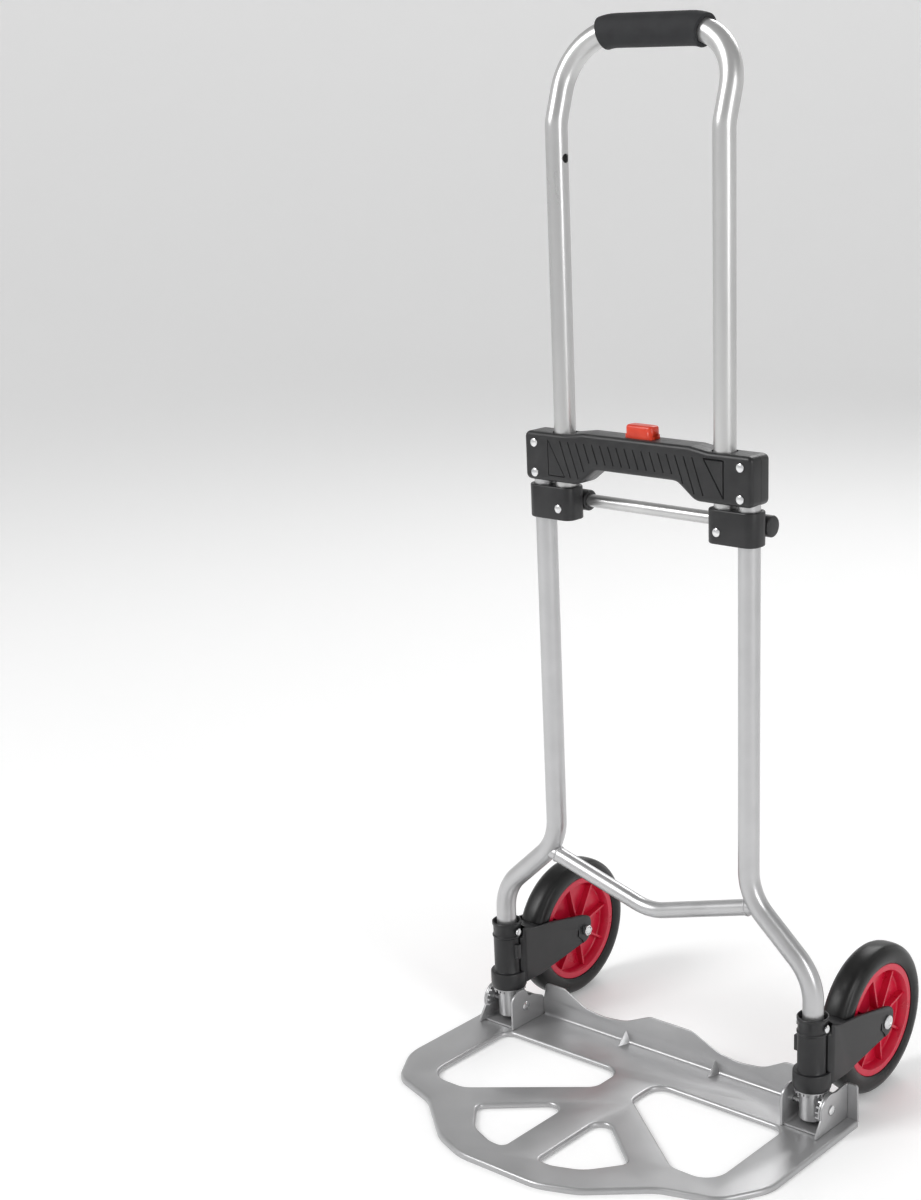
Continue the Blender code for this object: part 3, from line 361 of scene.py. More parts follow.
brace_fall = Vector((-BRACE_END.x, 0, BRACE_DIP_Z - BRACE_END.z))
fall_angle = brace_fall.angle(Vector((-1, 0, 0)))
dip_reach = BRACE_BEND_R * tan(fall_angle)
ring(BRACE_END, BRACE_R, 32, (0, pi / 2 - fall_angle, 0))
straight = brace_fall.normalized() * (brace_fall.length - dip_reach)
pull(straight)
flat_start = BRACE_END + straight
dip_centre = flat_start + Vector((-sin(fall_angle), 0, cos(fall_angle))) * BRACE_BEND_R
bend(dip_centre, (0, 1, 0), 2 * fall_angle * 180 / pi, 12)
pull(Vector((brace_fall.x, 0, -brace_fall.z)).normalized() * (brace_fall.length - dip_reach))
wall_up(BRACE_WALL)
place("cross_brace", silver, "frame", "frame_brace")

weld_at = BRACE_END + brace_fall.normalized() * WELD_FROM_END
bpy.ops.object.select_all(action="DESELECT")
bpy.ops.mesh.primitive_torus_add(
    major_radius=BRACE_R - 0.1 * MM,
    minor_radius=WELD_R,
    major_segments=72,
    minor_segments=12,
    location=weld_at,
    rotation=(0, pi / 2 - fall_angle, 0),
)
ripple = bpy.data.textures.new("weld_ripple", "CLOUDS")
ripple.noise_scale = 3 * MM
modify("DISPLACE", texture=ripple, strength=WELD_RIPPLE, mid_level=0.5)
place_pair("brace_weld_{}", silver, "frame", sharp=60)


# ---- Crossbar ----
# Two black moulded half shells, riveted together round the tubes. Slanting grooves cross the face between
# two triangles, the underside arches up in the middle, and the release button stands in a well on top.

CROSSBAR_X = 127 * MM
CROSSBAR_LOW_Z = 584 * MM
CROSSBAR_END_Z = 628.5 * MM
CROSSBAR_TOP_Z = 631.5 * MM
ARCH_Z = 599.6 * MM
ARCH_X = 46 * MM
SHELL_DEPTH = 14 * MM
HANDLE_X = 89.3 * MM
BORE_R = TUBE_R + 0.35 * MM
GROOVE = 3.2 * MM
GROOVE_DEPTH = 1.5 * MM
GROOVE_STEP = 9.3 * MM
GROOVE_LEAN = 0.36  # sideways for each step down
SHELL_EDGE_R = 3.8 * MM
SHELL_CORNER_R = 5.5 * MM
FIELD_MARGIN = 6 * MM  # from the ends of the grooves to the shell's edges
GROOVES_FROM_X = -85 * MM
GROOVES_TO_X = 68 * MM
WELL_HALF = Vector((15.4 * MM, 7.6 * MM, 0))
PAST = 5 * MM  # how far a cutter goes beyond what it cuts

black_plastic = new_finish(
    "black_moulded_plastic", "black_plastic", (0.012, 0.012, 0.013), (0.02, 0.02, 0.021),
    metallic=0, roughness=(0.33, 0.43), patch=18, grain=0.45, depth=0.035, mirror=0.45,
)


def soften(corners, step=9):
    """Corner points with a fillet radius last, turned into points with an arc at each filleted corner."""
    points = []
    for i, (x, y, radius) in enumerate(corners):
        here = Vector((x, y))
        if radius == 0:
            points.append(here)
            continue
        before = Vector(corners[i - 1][:2]) - here
        after = Vector(corners[(i + 1) % len(corners)][:2]) - here
        half = before.angle(after) / 2
        reach = min(radius / tan(half), 0.48 * before.length, 0.48 * after.length)
        radius = reach * tan(half)
        inward = (before.normalized() + after.normalized()).normalized()
        centre = here + inward * (radius / sin(half))
        first = here + before.normalized() * reach - centre
        last = here + after.normalized() * reach - centre
        sweep = first.angle(last)
        steps = max(2, round(sweep / radians(step)))
        for k in range(steps + 1):
            share = k / steps
            mixed = first * sin((1 - share) * sweep) + last * sin(share * sweep)
            points.append(centre + mixed / sin(sweep))
    return points


def mirrored(half):
    """A closed outline from its half at +X, listed from one end of the middle line to the other."""
    return half + [(-corner[0], *corner[1:]) for corner in reversed(half)]


def slab(points, depth):
    """Draws a flat outline of 3-D points, and gives it a depth. Ends in object mode."""
    draw(points)
    pull(depth)
    tidy_mesh()


def block(low, high, softness=0, segments=3):
    """A block between two corners, with its edges rounded. Left active."""
    bpy.ops.object.select_all(action="DESELECT")
    size = Vector(high) - Vector(low)
    bpy.ops.mesh.primitive_cube_add(size=1, location=(Vector(high) + Vector(low)) / 2, scale=size)
    bpy.ops.object.transform_apply()
    if softness:
        modify("BEVEL", width=softness, segments=segments)
    return bpy.context.object


def round_over(radius, outward, steps=5):
    """Rounds the edge of the selected face as it is drawn outwards, in edit mode."""
    turns = [pi / 2 * k / steps for k in range(steps + 1)]
    for turn, next_turn in zip(turns, turns[1:]):
        bpy.ops.mesh.inset(thickness=radius * (cos(turn) - cos(next_turn)))
        bpy.ops.transform.translate(value=Vector(outward) * radius * (sin(next_turn) - sin(turn)))


shell_half = [
    (ARCH_X, ARCH_Z, 14 * MM),
    (ARCH_X + 20 * MM, CROSSBAR_LOW_Z, 14 * MM),
    (CROSSBAR_X, CROSSBAR_LOW_Z, SHELL_CORNER_R),
    (CROSSBAR_X, CROSSBAR_END_Z, SHELL_CORNER_R),
    (80 * MM, CROSSBAR_END_Z, 20 * MM),
    (60 * MM, CROSSBAR_TOP_Z, 20 * MM),
]


def shell_edge(x):
    """The height of the crossbar's underside at x."""
    rise = (ARCH_X + 19 * MM - abs(x)) / (18 * MM)
    return CROSSBAR_LOW_Z + (ARCH_Z - CROSSBAR_LOW_Z) * min(1, max(0, rise))


def triangle_line(corners, face_y, width, depth):
    """A closed groove along the sides of a triangle on a face that looks along Y."""
    tools = []
    for here, there in zip(corners, corners[1:] + corners[:1]):
        tools.append(groove(here, there, face_y, width, depth))
    return tools


def groove(here, there, face_y, width, depth):
    """A straight V groove's cutter between two (x, z) points of a face."""
    run = Vector(there) - Vector(here)
    aside = Vector((-run.y, run.x)).normalized() * width / 2
    outward = depth if face_y > TUBE_Y else -depth
    x, z = here
    draw([
        (x - aside.x, face_y + outward, z - aside.y),
        (x + aside.x, face_y + outward, z + aside.y),
        (x, face_y - outward, z),
    ])
    pull((run.x, 0, run.y))
    tidy_mesh()
    return bpy.context.object


def make_shell(name, side, node):
    """One half shell: side is -1 for the front and 1 for the back."""
    face_y = TUBE_Y + side * SHELL_DEPTH
    start_y = TUBE_Y + side * 0.15 * MM
    draw([(x, start_y, z) for x, z in soften(mirrored(shell_half), step=12)])
    pull((0, face_y - side * SHELL_EDGE_R - start_y, 0))
    round_over(SHELL_EDGE_R, (0, side, 0))
    tidy_mesh()
    shell = bpy.context.object
    tools = []
    low = CROSSBAR_LOW_Z - PAST
    for x in (-POST_X, POST_X):
        high = CROSSBAR_END_Z - 3 * MM
        tools.append(bar((x, TUBE_Y, low), (x, TUBE_Y, high), BORE_R, 48))
    for x in (-HANDLE_X, HANDLE_X):
        high = CROSSBAR_TOP_Z + PAST
        tools.append(bar((x, TUBE_Y, low), (x, TUBE_Y, high), BORE_R, 48))
        seat_z = CROSSBAR_END_Z - 1.2 * MM
        tools.append(bar((x, TUBE_Y, seat_z), (x, TUBE_Y, high), BORE_R + 1.3 * MM, 48))
    well_low = Vector((0, TUBE_Y, 0.6)) - WELL_HALF
    well_high = Vector((0, TUBE_Y, 0.7)) + WELL_HALF
    tools.append(block(well_low, well_high, 2 * MM))
    high_z = CROSSBAR_END_Z - FIELD_MARGIN
    x = GROOVES_FROM_X
    while x < GROOVES_TO_X:
        low_z = shell_edge(x + 10 * MM) + FIELD_MARGIN
        lean = (high_z - low_z) * GROOVE_LEAN
        tools.append(groove((x, high_z), (x + lean, low_z), face_y, GROOVE, GROOVE_DEPTH))
        x += GROOVE_STEP
    right = [(76 * MM, high_z), (97 * MM, high_z), (97 * MM, CROSSBAR_LOW_Z + 5.5 * MM)]
    right = [(-side * x, z) for x, z in right]
    tools += triangle_line(right, face_y, GROOVE, GROOVE_DEPTH)
    foot_z = CROSSBAR_LOW_Z + FIELD_MARGIN
    left = [(side * x, z) for x, z in ((99 * MM, high_z), (99 * MM, foot_z), (80 * MM, foot_z))]
    tools += triangle_line(left, face_y, 0.7 * GROOVE, 0.6 * GROOVE_DEPTH)
    activate(shell)
    combine(tools)
    place(name, black_plastic, "frame", node, sharp=32)


make_shell("crossbar_front", -1, "crossbar_front_shell")
make_shell("crossbar_back", 1, "crossbar_rear_shell")


# ---- Rivets ----
# Bright zinc-plated steel rivets with low domed heads. They hold the crossbar's shells, the collars and
# the rings on the legs.

SHAFT_R = 2.2 * MM
RIVET_DROPS = (9.9 * MM, 37.4 * MM)  # below the top of the crossbar's ends
DOME_TURNS = (0, 0.3, 0.6, 0.9, 1.2)  # radians, from a head's rim towards its top

zinc = new_finish(
    "bright_zinc", "zinc", (0.66, 0.67, 0.69), (0.82, 0.82, 0.81),
    metallic=1, roughness=(0.16, 0.3), patch=5, grain=0.5, depth=0.015,
)


def rivet(low, high, shaft_r, head_r, head_h):
    """A domed rivet along one axis; low and high are the undersides of its heads. Left active."""
    middle = (Vector(low) + Vector(high)) / 2
    along = Vector(high) - Vector(low)
    half = along.length / 2
    dome = [(head_r * cos(t), half + 0.3 * head_h + 0.7 * head_h * sin(t)) for t in DOME_TURNS]
    top = [(shaft_r, half), (head_r, half), *dome, (0, half + head_h)]
    profile = [(r, -h) for r, h in reversed(top)] + top
    axis = "X" if abs(along.x) > half else "Y" if abs(along.y) > half else "Z"
    lathe(profile, middle, axis, 32, closed=False)


rivet_number = 0
reach_y = SHELL_DEPTH + 0.1 * MM
for rivet_x in (-POST_X, POST_X):
    for rivet_drop in RIVET_DROPS:
        rivet_number += 1
        rivet_z = CROSSBAR_END_Z - rivet_drop
        front_end = (rivet_x, TUBE_Y - reach_y, rivet_z)
        back_end = (rivet_x, TUBE_Y + reach_y, rivet_z)
        rivet(front_end, back_end, SHAFT_R, 4 * MM, 1.7 * MM)
        place(f"shell_rivet_{rivet_number}", zinc, "frame", f"crossbar_rivet_{rivet_number}")


# ---- Release button ----
# An orange-red moulded button in the middle of the crossbar. Four slanting legs under it draw the two
# steel lock bolts inwards, and a coil spring lifts it again.

CAP_EDGE_R = 2.6 * MM
CAP_CORNER_R = 4.5 * MM
CAP_HEIGHT = 9 * MM

button_red = new_finish(
    "orange_red_plastic", "button_plastic", (0.62, 0.035, 0.012), (0.72, 0.055, 0.02),
    metallic=0, roughness=(0.28, 0.38), patch=12, grain=0.5, depth=0.02,
)
button_low, button_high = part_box("release_button")

bpy.ops.object.select_all(action="DESELECT")
button = frame["nodes"]["release_button"].copy()
button.data = button.data.copy()
button.parent = None
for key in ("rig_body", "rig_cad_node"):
    del button[key]
bpy.context.scene.collection.objects.link(button)
activate(button)
start_edit()
tidy_mesh()
cap_low = button_high.z - CAP_HEIGHT
cap_plan = soften([
    (button_low.x, button_low.y, CAP_CORNER_R),
    (button_high.x, button_low.y, CAP_CORNER_R),
    (button_high.x, button_high.y, CAP_CORNER_R),
    (button_low.x, button_high.y, CAP_CORNER_R),
])
draw([(x, y, cap_low) for x, y in cap_plan])
pull((0, 0, button_high.z - CAP_EDGE_R - cap_low))
round_over(CAP_EDGE_R, (0, 0, 1))
tidy_mesh()
cap_top = bpy.context.object
top_trim = block(
    (button_low.x - MM, button_low.y - MM, cap_low + MM),
    (button_high.x + MM, button_high.y + MM, button_high.z + MM),
)
activate(button)
combine([top_trim])
combine([cap_top], "UNION")
place("release_button_cap", button_red, "release_button", "release_button")


def coat(finish, *nodes):
    """Gives a finish to pieces that keep their shape."""
    for node in nodes:
        frame["nodes"][node].data.materials.clear()
        frame["nodes"][node].data.materials.append(finish)


coat(zinc, "button_spring", "lock_bolt_left", "lock_bolt_right")


# ---- Handle ----
# One bright aluminium tube bent into a U whose top leans back, with lock holes drilled in its inner
# sides. A soft foam sleeve covers the middle of the bend.

KINK_Z = 896 * MM
KINK_R = 30 * MM
KINK = 18.5  # degrees
U_BEND_R = 50 * MM
U_TOP_Z = 970 * MM
LOCK_HOLE_R = 4 * MM
LOCK_HOLES_Z = (605 * MM, 867 * MM)
DRILL_END_X = 70 * MM
GRIP_R = 14 * MM
GRIP_TURN = 17  # degrees of each bend that the grip covers
GRIP_CLEAR = 0.2 * MM

bright = new_finish(
    "bright_satin_aluminium", "handle_paint", (0.53, 0.53, 0.53), (0.62, 0.62, 0.615),
    metallic=0.75, roughness=(0.27, 0.36), patch=40, grain=0.5, depth=0.015, stretch=(1, 1, 0.15),
)
handle_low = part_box("handle_tube")[0]
kink_reach = KINK_R * tan(radians(KINK / 2))
lean = Vector((0, sin(radians(KINK)), cos(radians(KINK))))
lean_length = (U_TOP_Z - KINK_Z) / lean.z

ring((HANDLE_X, TUBE_Y, handle_low.z), TUBE_R)
pull((0, 0, KINK_Z - kink_reach - handle_low.z))
bend((HANDLE_X, TUBE_Y + KINK_R, KINK_Z - kink_reach), (1, 0, 0), -KINK, 8)
pull(lean * (lean_length - kink_reach - U_BEND_R))
u_start = Vector((0, TUBE_Y, KINK_Z)) + lean * (lean_length - U_BEND_R)
u_axis = Vector((0, cos(radians(KINK)), -sin(radians(KINK))))
bend(u_start + Vector((HANDLE_X - U_BEND_R, 0, 0)), u_axis, -90, 20)
pull((-2 * (HANDLE_X - U_BEND_R), 0, 0))
bend(u_start - Vector((HANDLE_X - U_BEND_R, 0, 0)), u_axis, -90, 20)
pull(-lean * (lean_length - kink_reach - U_BEND_R))
bend((-HANDLE_X, TUBE_Y + KINK_R, KINK_Z - kink_reach), (1, 0, 0), KINK, 8)
pull((0, 0, handle_low.z - KINK_Z + kink_reach))
wall_up(TUBE_WALL)
tube = bpy.context.object
drills = []
for side in (-1, 1):
    for hole_z in LOCK_HOLES_Z:
        hole_end = (side * DRILL_END_X, TUBE_Y, hole_z)
        drills.append(bar((side * HANDLE_X, TUBE_Y, hole_z), hole_end, LOCK_HOLE_R))
activate(tube)
combine(drills)
place("handle_bow", bright, "handle", "handle_tube")

foam = new_finish(
    "grip_foam", "foam", (0.022, 0.022, 0.024), (0.034, 0.035, 0.037),
    metallic=0, roughness=(0.62, 0.78), patch=14, grain=0.35, depth=0.09, mirror=0.25,
)


def bevel(width, segments, angle=60):
    """Rounds the active piece's edges that are sharper than an angle."""
    modify("BEVEL", width=width, segments=segments, limit_method="ANGLE", angle_limit=radians(angle))


grip_centre = Vector((0, TUBE_Y, KINK_Z)) + lean * lean_length
grip_flat = HANDLE_X - U_BEND_R
ring(grip_centre + Vector((grip_flat, 0, 0)), TUBE_R + GRIP_CLEAR, 48, (0, pi / 2, 0))
pull((-2 * grip_flat, 0, 0))
bend_centre = grip_centre - lean * U_BEND_R
bend(bend_centre - Vector((grip_flat, 0, 0)), u_axis, -GRIP_TURN, 4)
bpy.ops.object.mode_set(mode="OBJECT")
sleeve = bpy.context.object
for vertex in sleeve.data.vertices:
    vertex.select = abs(vertex.co.x - grip_flat) < 1e-5
for edge in sleeve.data.edges:
    edge.select = all(sleeve.data.vertices[v].select for v in edge.vertices)
for face in sleeve.data.polygons:
    face.select = False
bpy.ops.object.mode_set(mode="EDIT")
bend(bend_centre + Vector((grip_flat, 0, 0)), u_axis, GRIP_TURN, 4)
wall_up(GRIP_R - TUBE_R - GRIP_CLEAR, 1)
bevel(1.1 * MM, 4, 50)
place("grip_sleeve", foam, "handle", "handle_grip", sharp=50)


# ---- Collars and tie rod ----
# Two black mouldings, riveted to the lower ends of the handle, slide on the frame tubes. A silver tube
# joins them through the round lugs on their backs.

COLLAR_R = 13 * MM
LUG_R = 9.7 * MM
TIE_ROD_R = 6 * MM
TIE_WALL = 1.2 * MM
DRILL_R = 2.5 * MM  # of the holes for the rivets
CLEAR = 0.3 * MM  # between pieces that touch
collar_low, collar_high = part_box("collar_right")
tie_low, tie_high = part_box("tie_rod")
tie_y, tie_z = (tie_low.y + tie_high.y) / 2, (tie_low.z + tie_high.z) / 2

west, east = HANDLE_X - COLLAR_R, POST_X + COLLAR_R
front, back = TUBE_Y - COLLAR_R, TUBE_Y + COLLAR_R
plan = [(west, front, 9 * MM), (east, front, 11 * MM), (east, back, 11 * MM), (west, back, 9 * MM)]
slab([(x, y, collar_low.z) for x, y in soften(plan)], (0, 0, collar_high.z - collar_low.z))
bevel(1.5 * MM, 4)
collar = bpy.context.object
lug = bar((west, tie_y, tie_z), (collar_high.x, tie_y, tie_z), LUG_R, 48)
bevel(1.6 * MM, 4)
activate(collar)
combine([lug], "UNION")
low_z, high_z = collar_low.z - PAST, collar_high.z + PAST
tools = [
    bar((POST_X, TUBE_Y, low_z), (POST_X, TUBE_Y, high_z), BORE_R, 48),
    bar((HANDLE_X, TUBE_Y, handle_low.z - CLEAR), (HANDLE_X, TUBE_Y, high_z), BORE_R, 48),
    bar((0, tie_y, tie_z), (HANDLE_X + COLLAR_R, tie_y, tie_z), TIE_ROD_R + CLEAR, 32),
]
rivet_low, rivet_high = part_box("collar_rivet_right")
rivet_z = (rivet_low.z + rivet_high.z) / 2
tools.append(bar((HANDLE_X, front - PAST, rivet_z), (HANDLE_X, TUBE_Y, rivet_z), DRILL_R, 20))
activate(collar)
combine(tools)
place_pair("collar_moulding_{}", black_plastic, "handle", "collar_{}", sharp=35)

dome = [(4 * MM * cos(t), 0.5 * MM + 1.3 * MM * sin(t)) for t in DOME_TURNS]
shank = TUBE_Y - rivet_low.y - 1.9 * MM
head = [(0, -8 * MM), (SHAFT_R, -8 * MM), (SHAFT_R, shank), (4 * MM, shank)]
profile = head + [(r, shank + h) for r, h in dome] + [(0, shank + 1.8 * MM)]
lathe([(r, -h) for r, h in profile], (HANDLE_X, TUBE_Y, rivet_z), "Y", 32)
place_pair("collar_stud_{}", zinc, "handle", "collar_rivet_{}")

ring((tie_low.x, tie_y, tie_z), TIE_ROD_R, 32, (0, pi / 2, 0))
pull((tie_high.x - tie_low.x, 0, 0))
wall_up(TIE_WALL)
place("tie_tube", bright, "handle", "tie_rod")


# ---- Leg rings and bushes ----
# A black moulded cup with a flared lip closes the top of each wheel arm's bearing. It is riveted to its
# leg. A bright steel bush on the foot of the leg carries the arm and turns in the hinge.

ring_low, ring_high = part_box("leg_ring_right")
RING_R = (ring_high.x - ring_low.x) / 2

foot = (LEG_X, TUBE_Y, 0)
profile = [
    (BORE_R, ring_low.z),
    (RING_R - 0.4 * MM, ring_low.z),
    (RING_R, ring_low.z + 0.5 * MM),
    (RING_R, ring_low.z + 1.8 * MM),
    (RING_R - 1 * MM, ring_low.z + 2.6 * MM),
    (RING_R - 1 * MM, ring_high.z - 4.6 * MM),
    (RING_R, ring_high.z - 3.2 * MM),
    (RING_R, ring_high.z - 0.5 * MM),
    (RING_R - 0.5 * MM, ring_high.z),
    (RING_R - 1.3 * MM, ring_high.z),
    (RING_R - 1.7 * MM, ring_high.z - 0.6 * MM),
    (BORE_R + 1.6 * MM, ring_high.z - 5.5 * MM),
    (BORE_R, ring_high.z - 5.5 * MM),
]
lathe(profile, foot, "Z", 72)
cup = bpy.context.object
stud_low, stud_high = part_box("ring_rivet_right")
stud_z = (stud_low.z + stud_high.z) / 2
drill = bar((LEG_X - 2 * RING_R, TUBE_Y, stud_z), (LEG_X + 2 * RING_R, TUBE_Y, stud_z), DRILL_R, 20)
activate(cup)
combine([drill])
place_pair("leg_cup_{}", black_plastic, "frame", "leg_ring_{}", sharp=40)

reach_x = RING_R + CLEAR
stud_ends = [(LEG_X + side * reach_x, TUBE_Y, stud_z) for side in (-1, 1)]
rivet(*stud_ends, SHAFT_R, 3.8 * MM, 1.8 * MM)
place_pair("leg_stud_{}", zinc, "frame", "ring_rivet_{}")

bush_r = (BUSH_HIGH.x - BUSH_LOW.x) / 2
profile = [
    (BORE_R, BUSH_LOW.z),
    (bush_r - 0.6 * MM, BUSH_LOW.z),
    (bush_r, BUSH_LOW.z + 0.7 * MM),
    (bush_r, BUSH_HIGH.z),
    (BORE_R, BUSH_HIGH.z),
]
lathe(profile, foot, "Z", 64)
bush = bpy.context.object
pin_low, pin_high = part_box("hinge_pin_right")
PIN_Z = (pin_low.z + pin_high.z) / 2
PIN_R = 3 * MM
drill = bar((LEG_X - 20 * MM, TUBE_Y, PIN_Z), (LEG_X + 20 * MM, TUBE_Y, PIN_Z), PIN_R + CLEAR, 24)
activate(bush)
combine([drill])
place_pair("foot_bush_{}", silver, "frame", "leg_bush_{}")


# ---- Wheel arms ----
# A black glass-filled moulding on each leg: a sleeve with a wide skirt, and behind it a fork that holds
# the wheel. The fork's side has a raised panel with a V-shaped step below it, and a boss round the axle.

ARM_HALF = 19.5 * MM
ARM_PLATE = 3.2 * MM
ARM_EDGE_R = 1.2 * MM
ARM_CORNER_R = 8 * MM
SLEEVE_R = 14.3 * MM
ROUGH_BORE_R = 8 * MM  # the leg's bore is cut wider later
SLEEVE_TOP_Z = 101 * MM
SKIRT_R = 18.6 * MM
SKIRT_TOP_Z = 63 * MM
SKIRT_LOW_Z = 45 * MM
GEAR_R = 15.4 * MM
GEAR_FACE = 2.8 * MM
ARM_LOW_Z = 50.5 * MM
ARM_TOP_Z = 112 * MM
BOSS_R = 10.2 * MM
STEP_DEPTH = 1.3 * MM
CREASE_HALF = 0.9 * MM
WHEEL_CLEAR = 2.2 * MM
RING_ROOM_R = 18.3 * MM
AXLE_R = 4 * MM
AXLE_LOW, AXLE_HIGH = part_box("tyre_right")
AXLE_Y, AXLE_Z = (AXLE_LOW.y + AXLE_HIGH.y) / 2, (AXLE_LOW.z + AXLE_HIGH.z) / 2
WHEEL_R = (AXLE_HIGH.z - AXLE_LOW.z) / 2
axle_back = AXLE_Y + 11 * MM

side_view = soften([
    (TUBE_Y + 2 * MM, ARM_LOW_Z, 2 * MM),
    (TUBE_Y + 30 * MM, ARM_LOW_Z, 8 * MM),
    (TUBE_Y + 64 * MM, AXLE_Z - 20 * MM, 20 * MM),
    (axle_back - 6 * MM, AXLE_Z - 14 * MM, 10 * MM),
    (axle_back, AXLE_Z - 3 * MM, 6 * MM),
    (axle_back, AXLE_Z + 12 * MM, 9 * MM),
    (axle_back - 13 * MM, AXLE_Z + 17 * MM, 9 * MM),
    (TUBE_Y + 52 * MM, ARM_TOP_Z - 10 * MM, 30 * MM),
    (TUBE_Y + 16 * MM, ARM_TOP_Z - 5 * MM, 20 * MM),
    (TUBE_Y + 2 * MM, ARM_TOP_Z, 2 * MM),
])
draw([(LEG_X, y, z) for y, z in side_view + side_view[:1]], filled=False)
pull((ARM_HALF - ARM_EDGE_R, 0, 0))
bpy.ops.mesh.remove_doubles(threshold=1e-6)
bpy.ops.mesh.edge_face_add()
round_over(ARM_EDGE_R, (1, 0, 0), 3)
tidy_mesh()
modify("MIRROR", merge_threshold=1e-5)
fork = bpy.context.object
front_y = TUBE_Y + 1 * MM
plan = soften([
    (LEG_X - ARM_HALF, front_y, ARM_CORNER_R),
    (LEG_X + ARM_HALF, front_y, ARM_CORNER_R),
    (LEG_X + ARM_HALF, axle_back + 20 * MM, 0),
    (LEG_X - ARM_HALF, axle_back + 20 * MM, 0),
])
slab([(x, y, 0) for x, y in plan], (0, 0, 0.3))
front_shape = bpy.context.object
activate(fork)
combine([front_shape], "INTERSECT")
seat_inner = GEAR_R - GEAR_FACE / 2 - CLEAR
seat_outer = GEAR_R + GEAR_FACE / 2 + CLEAR
seat_top = SKIRT_LOW_Z + 5 * MM
barrel = [
    (ROUGH_BORE_R, SKIRT_LOW_Z),
    (seat_inner, SKIRT_LOW_Z),
    (seat_inner, seat_top),
    (seat_outer, seat_top),
    (seat_outer, SKIRT_LOW_Z),
    (SKIRT_R - 1.2 * MM, SKIRT_LOW_Z),
    (SKIRT_R - 0.6 * MM, SKIRT_LOW_Z + 1.2 * MM),
    (SKIRT_R, SKIRT_LOW_Z + 5 * MM),
    (SKIRT_R, SKIRT_TOP_Z - 1.2 * MM),
    (SKIRT_R - 0.6 * MM, SKIRT_TOP_Z - 0.2 * MM),
    (SKIRT_R - 1.2 * MM, SKIRT_TOP_Z),
    (SLEEVE_R + 0.6 * MM, SKIRT_TOP_Z + 0.2 * MM),
    (SLEEVE_R, SKIRT_TOP_Z + 1 * MM),
    (SLEEVE_R, SLEEVE_TOP_Z),
    (ROUGH_BORE_R, SLEEVE_TOP_Z),
]
lathe(barrel, foot, "Z", 72)
sleeve = bpy.context.object
tab_low = (LEG_X - 3.5 * MM - SLEEVE_R, TUBE_Y - 5 * MM, 79 * MM)
tab_high = (LEG_X - 5 * MM, TUBE_Y + 1 * MM, 95 * MM)
tab = block(tab_low, tab_high, 0.9 * MM)
boss = bar((LEG_X - ARM_HALF, AXLE_Y, AXLE_Z), (LEG_X + ARM_HALF, AXLE_Y, AXLE_Z), BOSS_R, 40)
activate(fork)
combine([sleeve, boss], "UNION")
combine([tab], "UNION")
inside = ARM_HALF - ARM_PLATE
room_ends = [(LEG_X + side * inside, AXLE_Y, AXLE_Z) for side in (-1, 1)]
wheel_room = bar(*room_ends, WHEEL_R + WHEEL_CLEAR, 96)
drill_ends = [(LEG_X + side * 30 * MM, AXLE_Y, AXLE_Z) for side in (-1, 1)]
axle_room = bar(*drill_ends, AXLE_R + CLEAR, 32)


def side_step(x, points, depth):
    """The cutter of a recess in the fork's side face at x, from (y, z) points."""
    slab([(x - depth, y, z) for y, z in points], (2 * depth, 0, 0))
    return bpy.context.object


recess = []
for side in (-1, 1):
    face_x = LEG_X + side * ARM_HALF
    lower = [
        (TUBE_Y + 44 * MM, ARM_LOW_Z - 3 * MM),
        (TUBE_Y + 42 * MM, ARM_LOW_Z + 6.5 * MM),
        (TUBE_Y + 66 * MM, AXLE_Z - 12 * MM),
        (AXLE_Y - 14 * MM, AXLE_Z - 5.2 * MM),
        (AXLE_Y - 11.6 * MM, AXLE_Z + 3 * MM),
        (AXLE_Y - BOSS_R, AXLE_Z + 3 * MM),
        (AXLE_Y - BOSS_R, AXLE_Z - 5 * MM),
        (AXLE_Y - 4 * MM, AXLE_Z - 11 * MM),
        (AXLE_Y, AXLE_Z - 24 * MM),
    ]
    recess.append(side_step(face_x, lower, STEP_DEPTH))
creases = []
for side in (-1, 1):
    crease_x = LEG_X + side * (ARM_HALF - 5 * MM)
    crease_low = (crease_x - CREASE_HALF, TUBE_Y, ARM_LOW_Z - MM)
    crease_high = (crease_x + CREASE_HALF, TUBE_Y + 2.4 * MM, ARM_TOP_Z + MM)
    creases.append(block(crease_low, crease_high))
leg_room = bar(foot, (LEG_X, TUBE_Y, ARM_TOP_Z), BORE_R, 64)
ring_low_end = (LEG_X, TUBE_Y, SLEEVE_TOP_Z - 0.2 * MM)
ring_room = bar(ring_low_end, (LEG_X, TUBE_Y, ARM_TOP_Z + 20 * MM), RING_ROOM_R, 72)
activate(fork)
combine([wheel_room, axle_room, *recess, *creases, leg_room, ring_room])
place_pair("wheel_fork_{}", black_plastic, "wheel_arm_{}", "wheel_arm_{}", sharp=38)

bare_steel = new_finish(
    "machined_steel", "gear_steel", (0.36, 0.36, 0.37), (0.55, 0.55, 0.55),
    metallic=1, roughness=(0.28, 0.42), patch=6, grain=0.4, depth=0.02,
)
coat(bare_steel, "crown_gear_left", "crown_gear_right")


# ---- Axles ----
# A zinc-plated bolt through each fork, its low domed head outside, with a hexagon nut on its inner end.
# A steel bush in the hub runs on it.

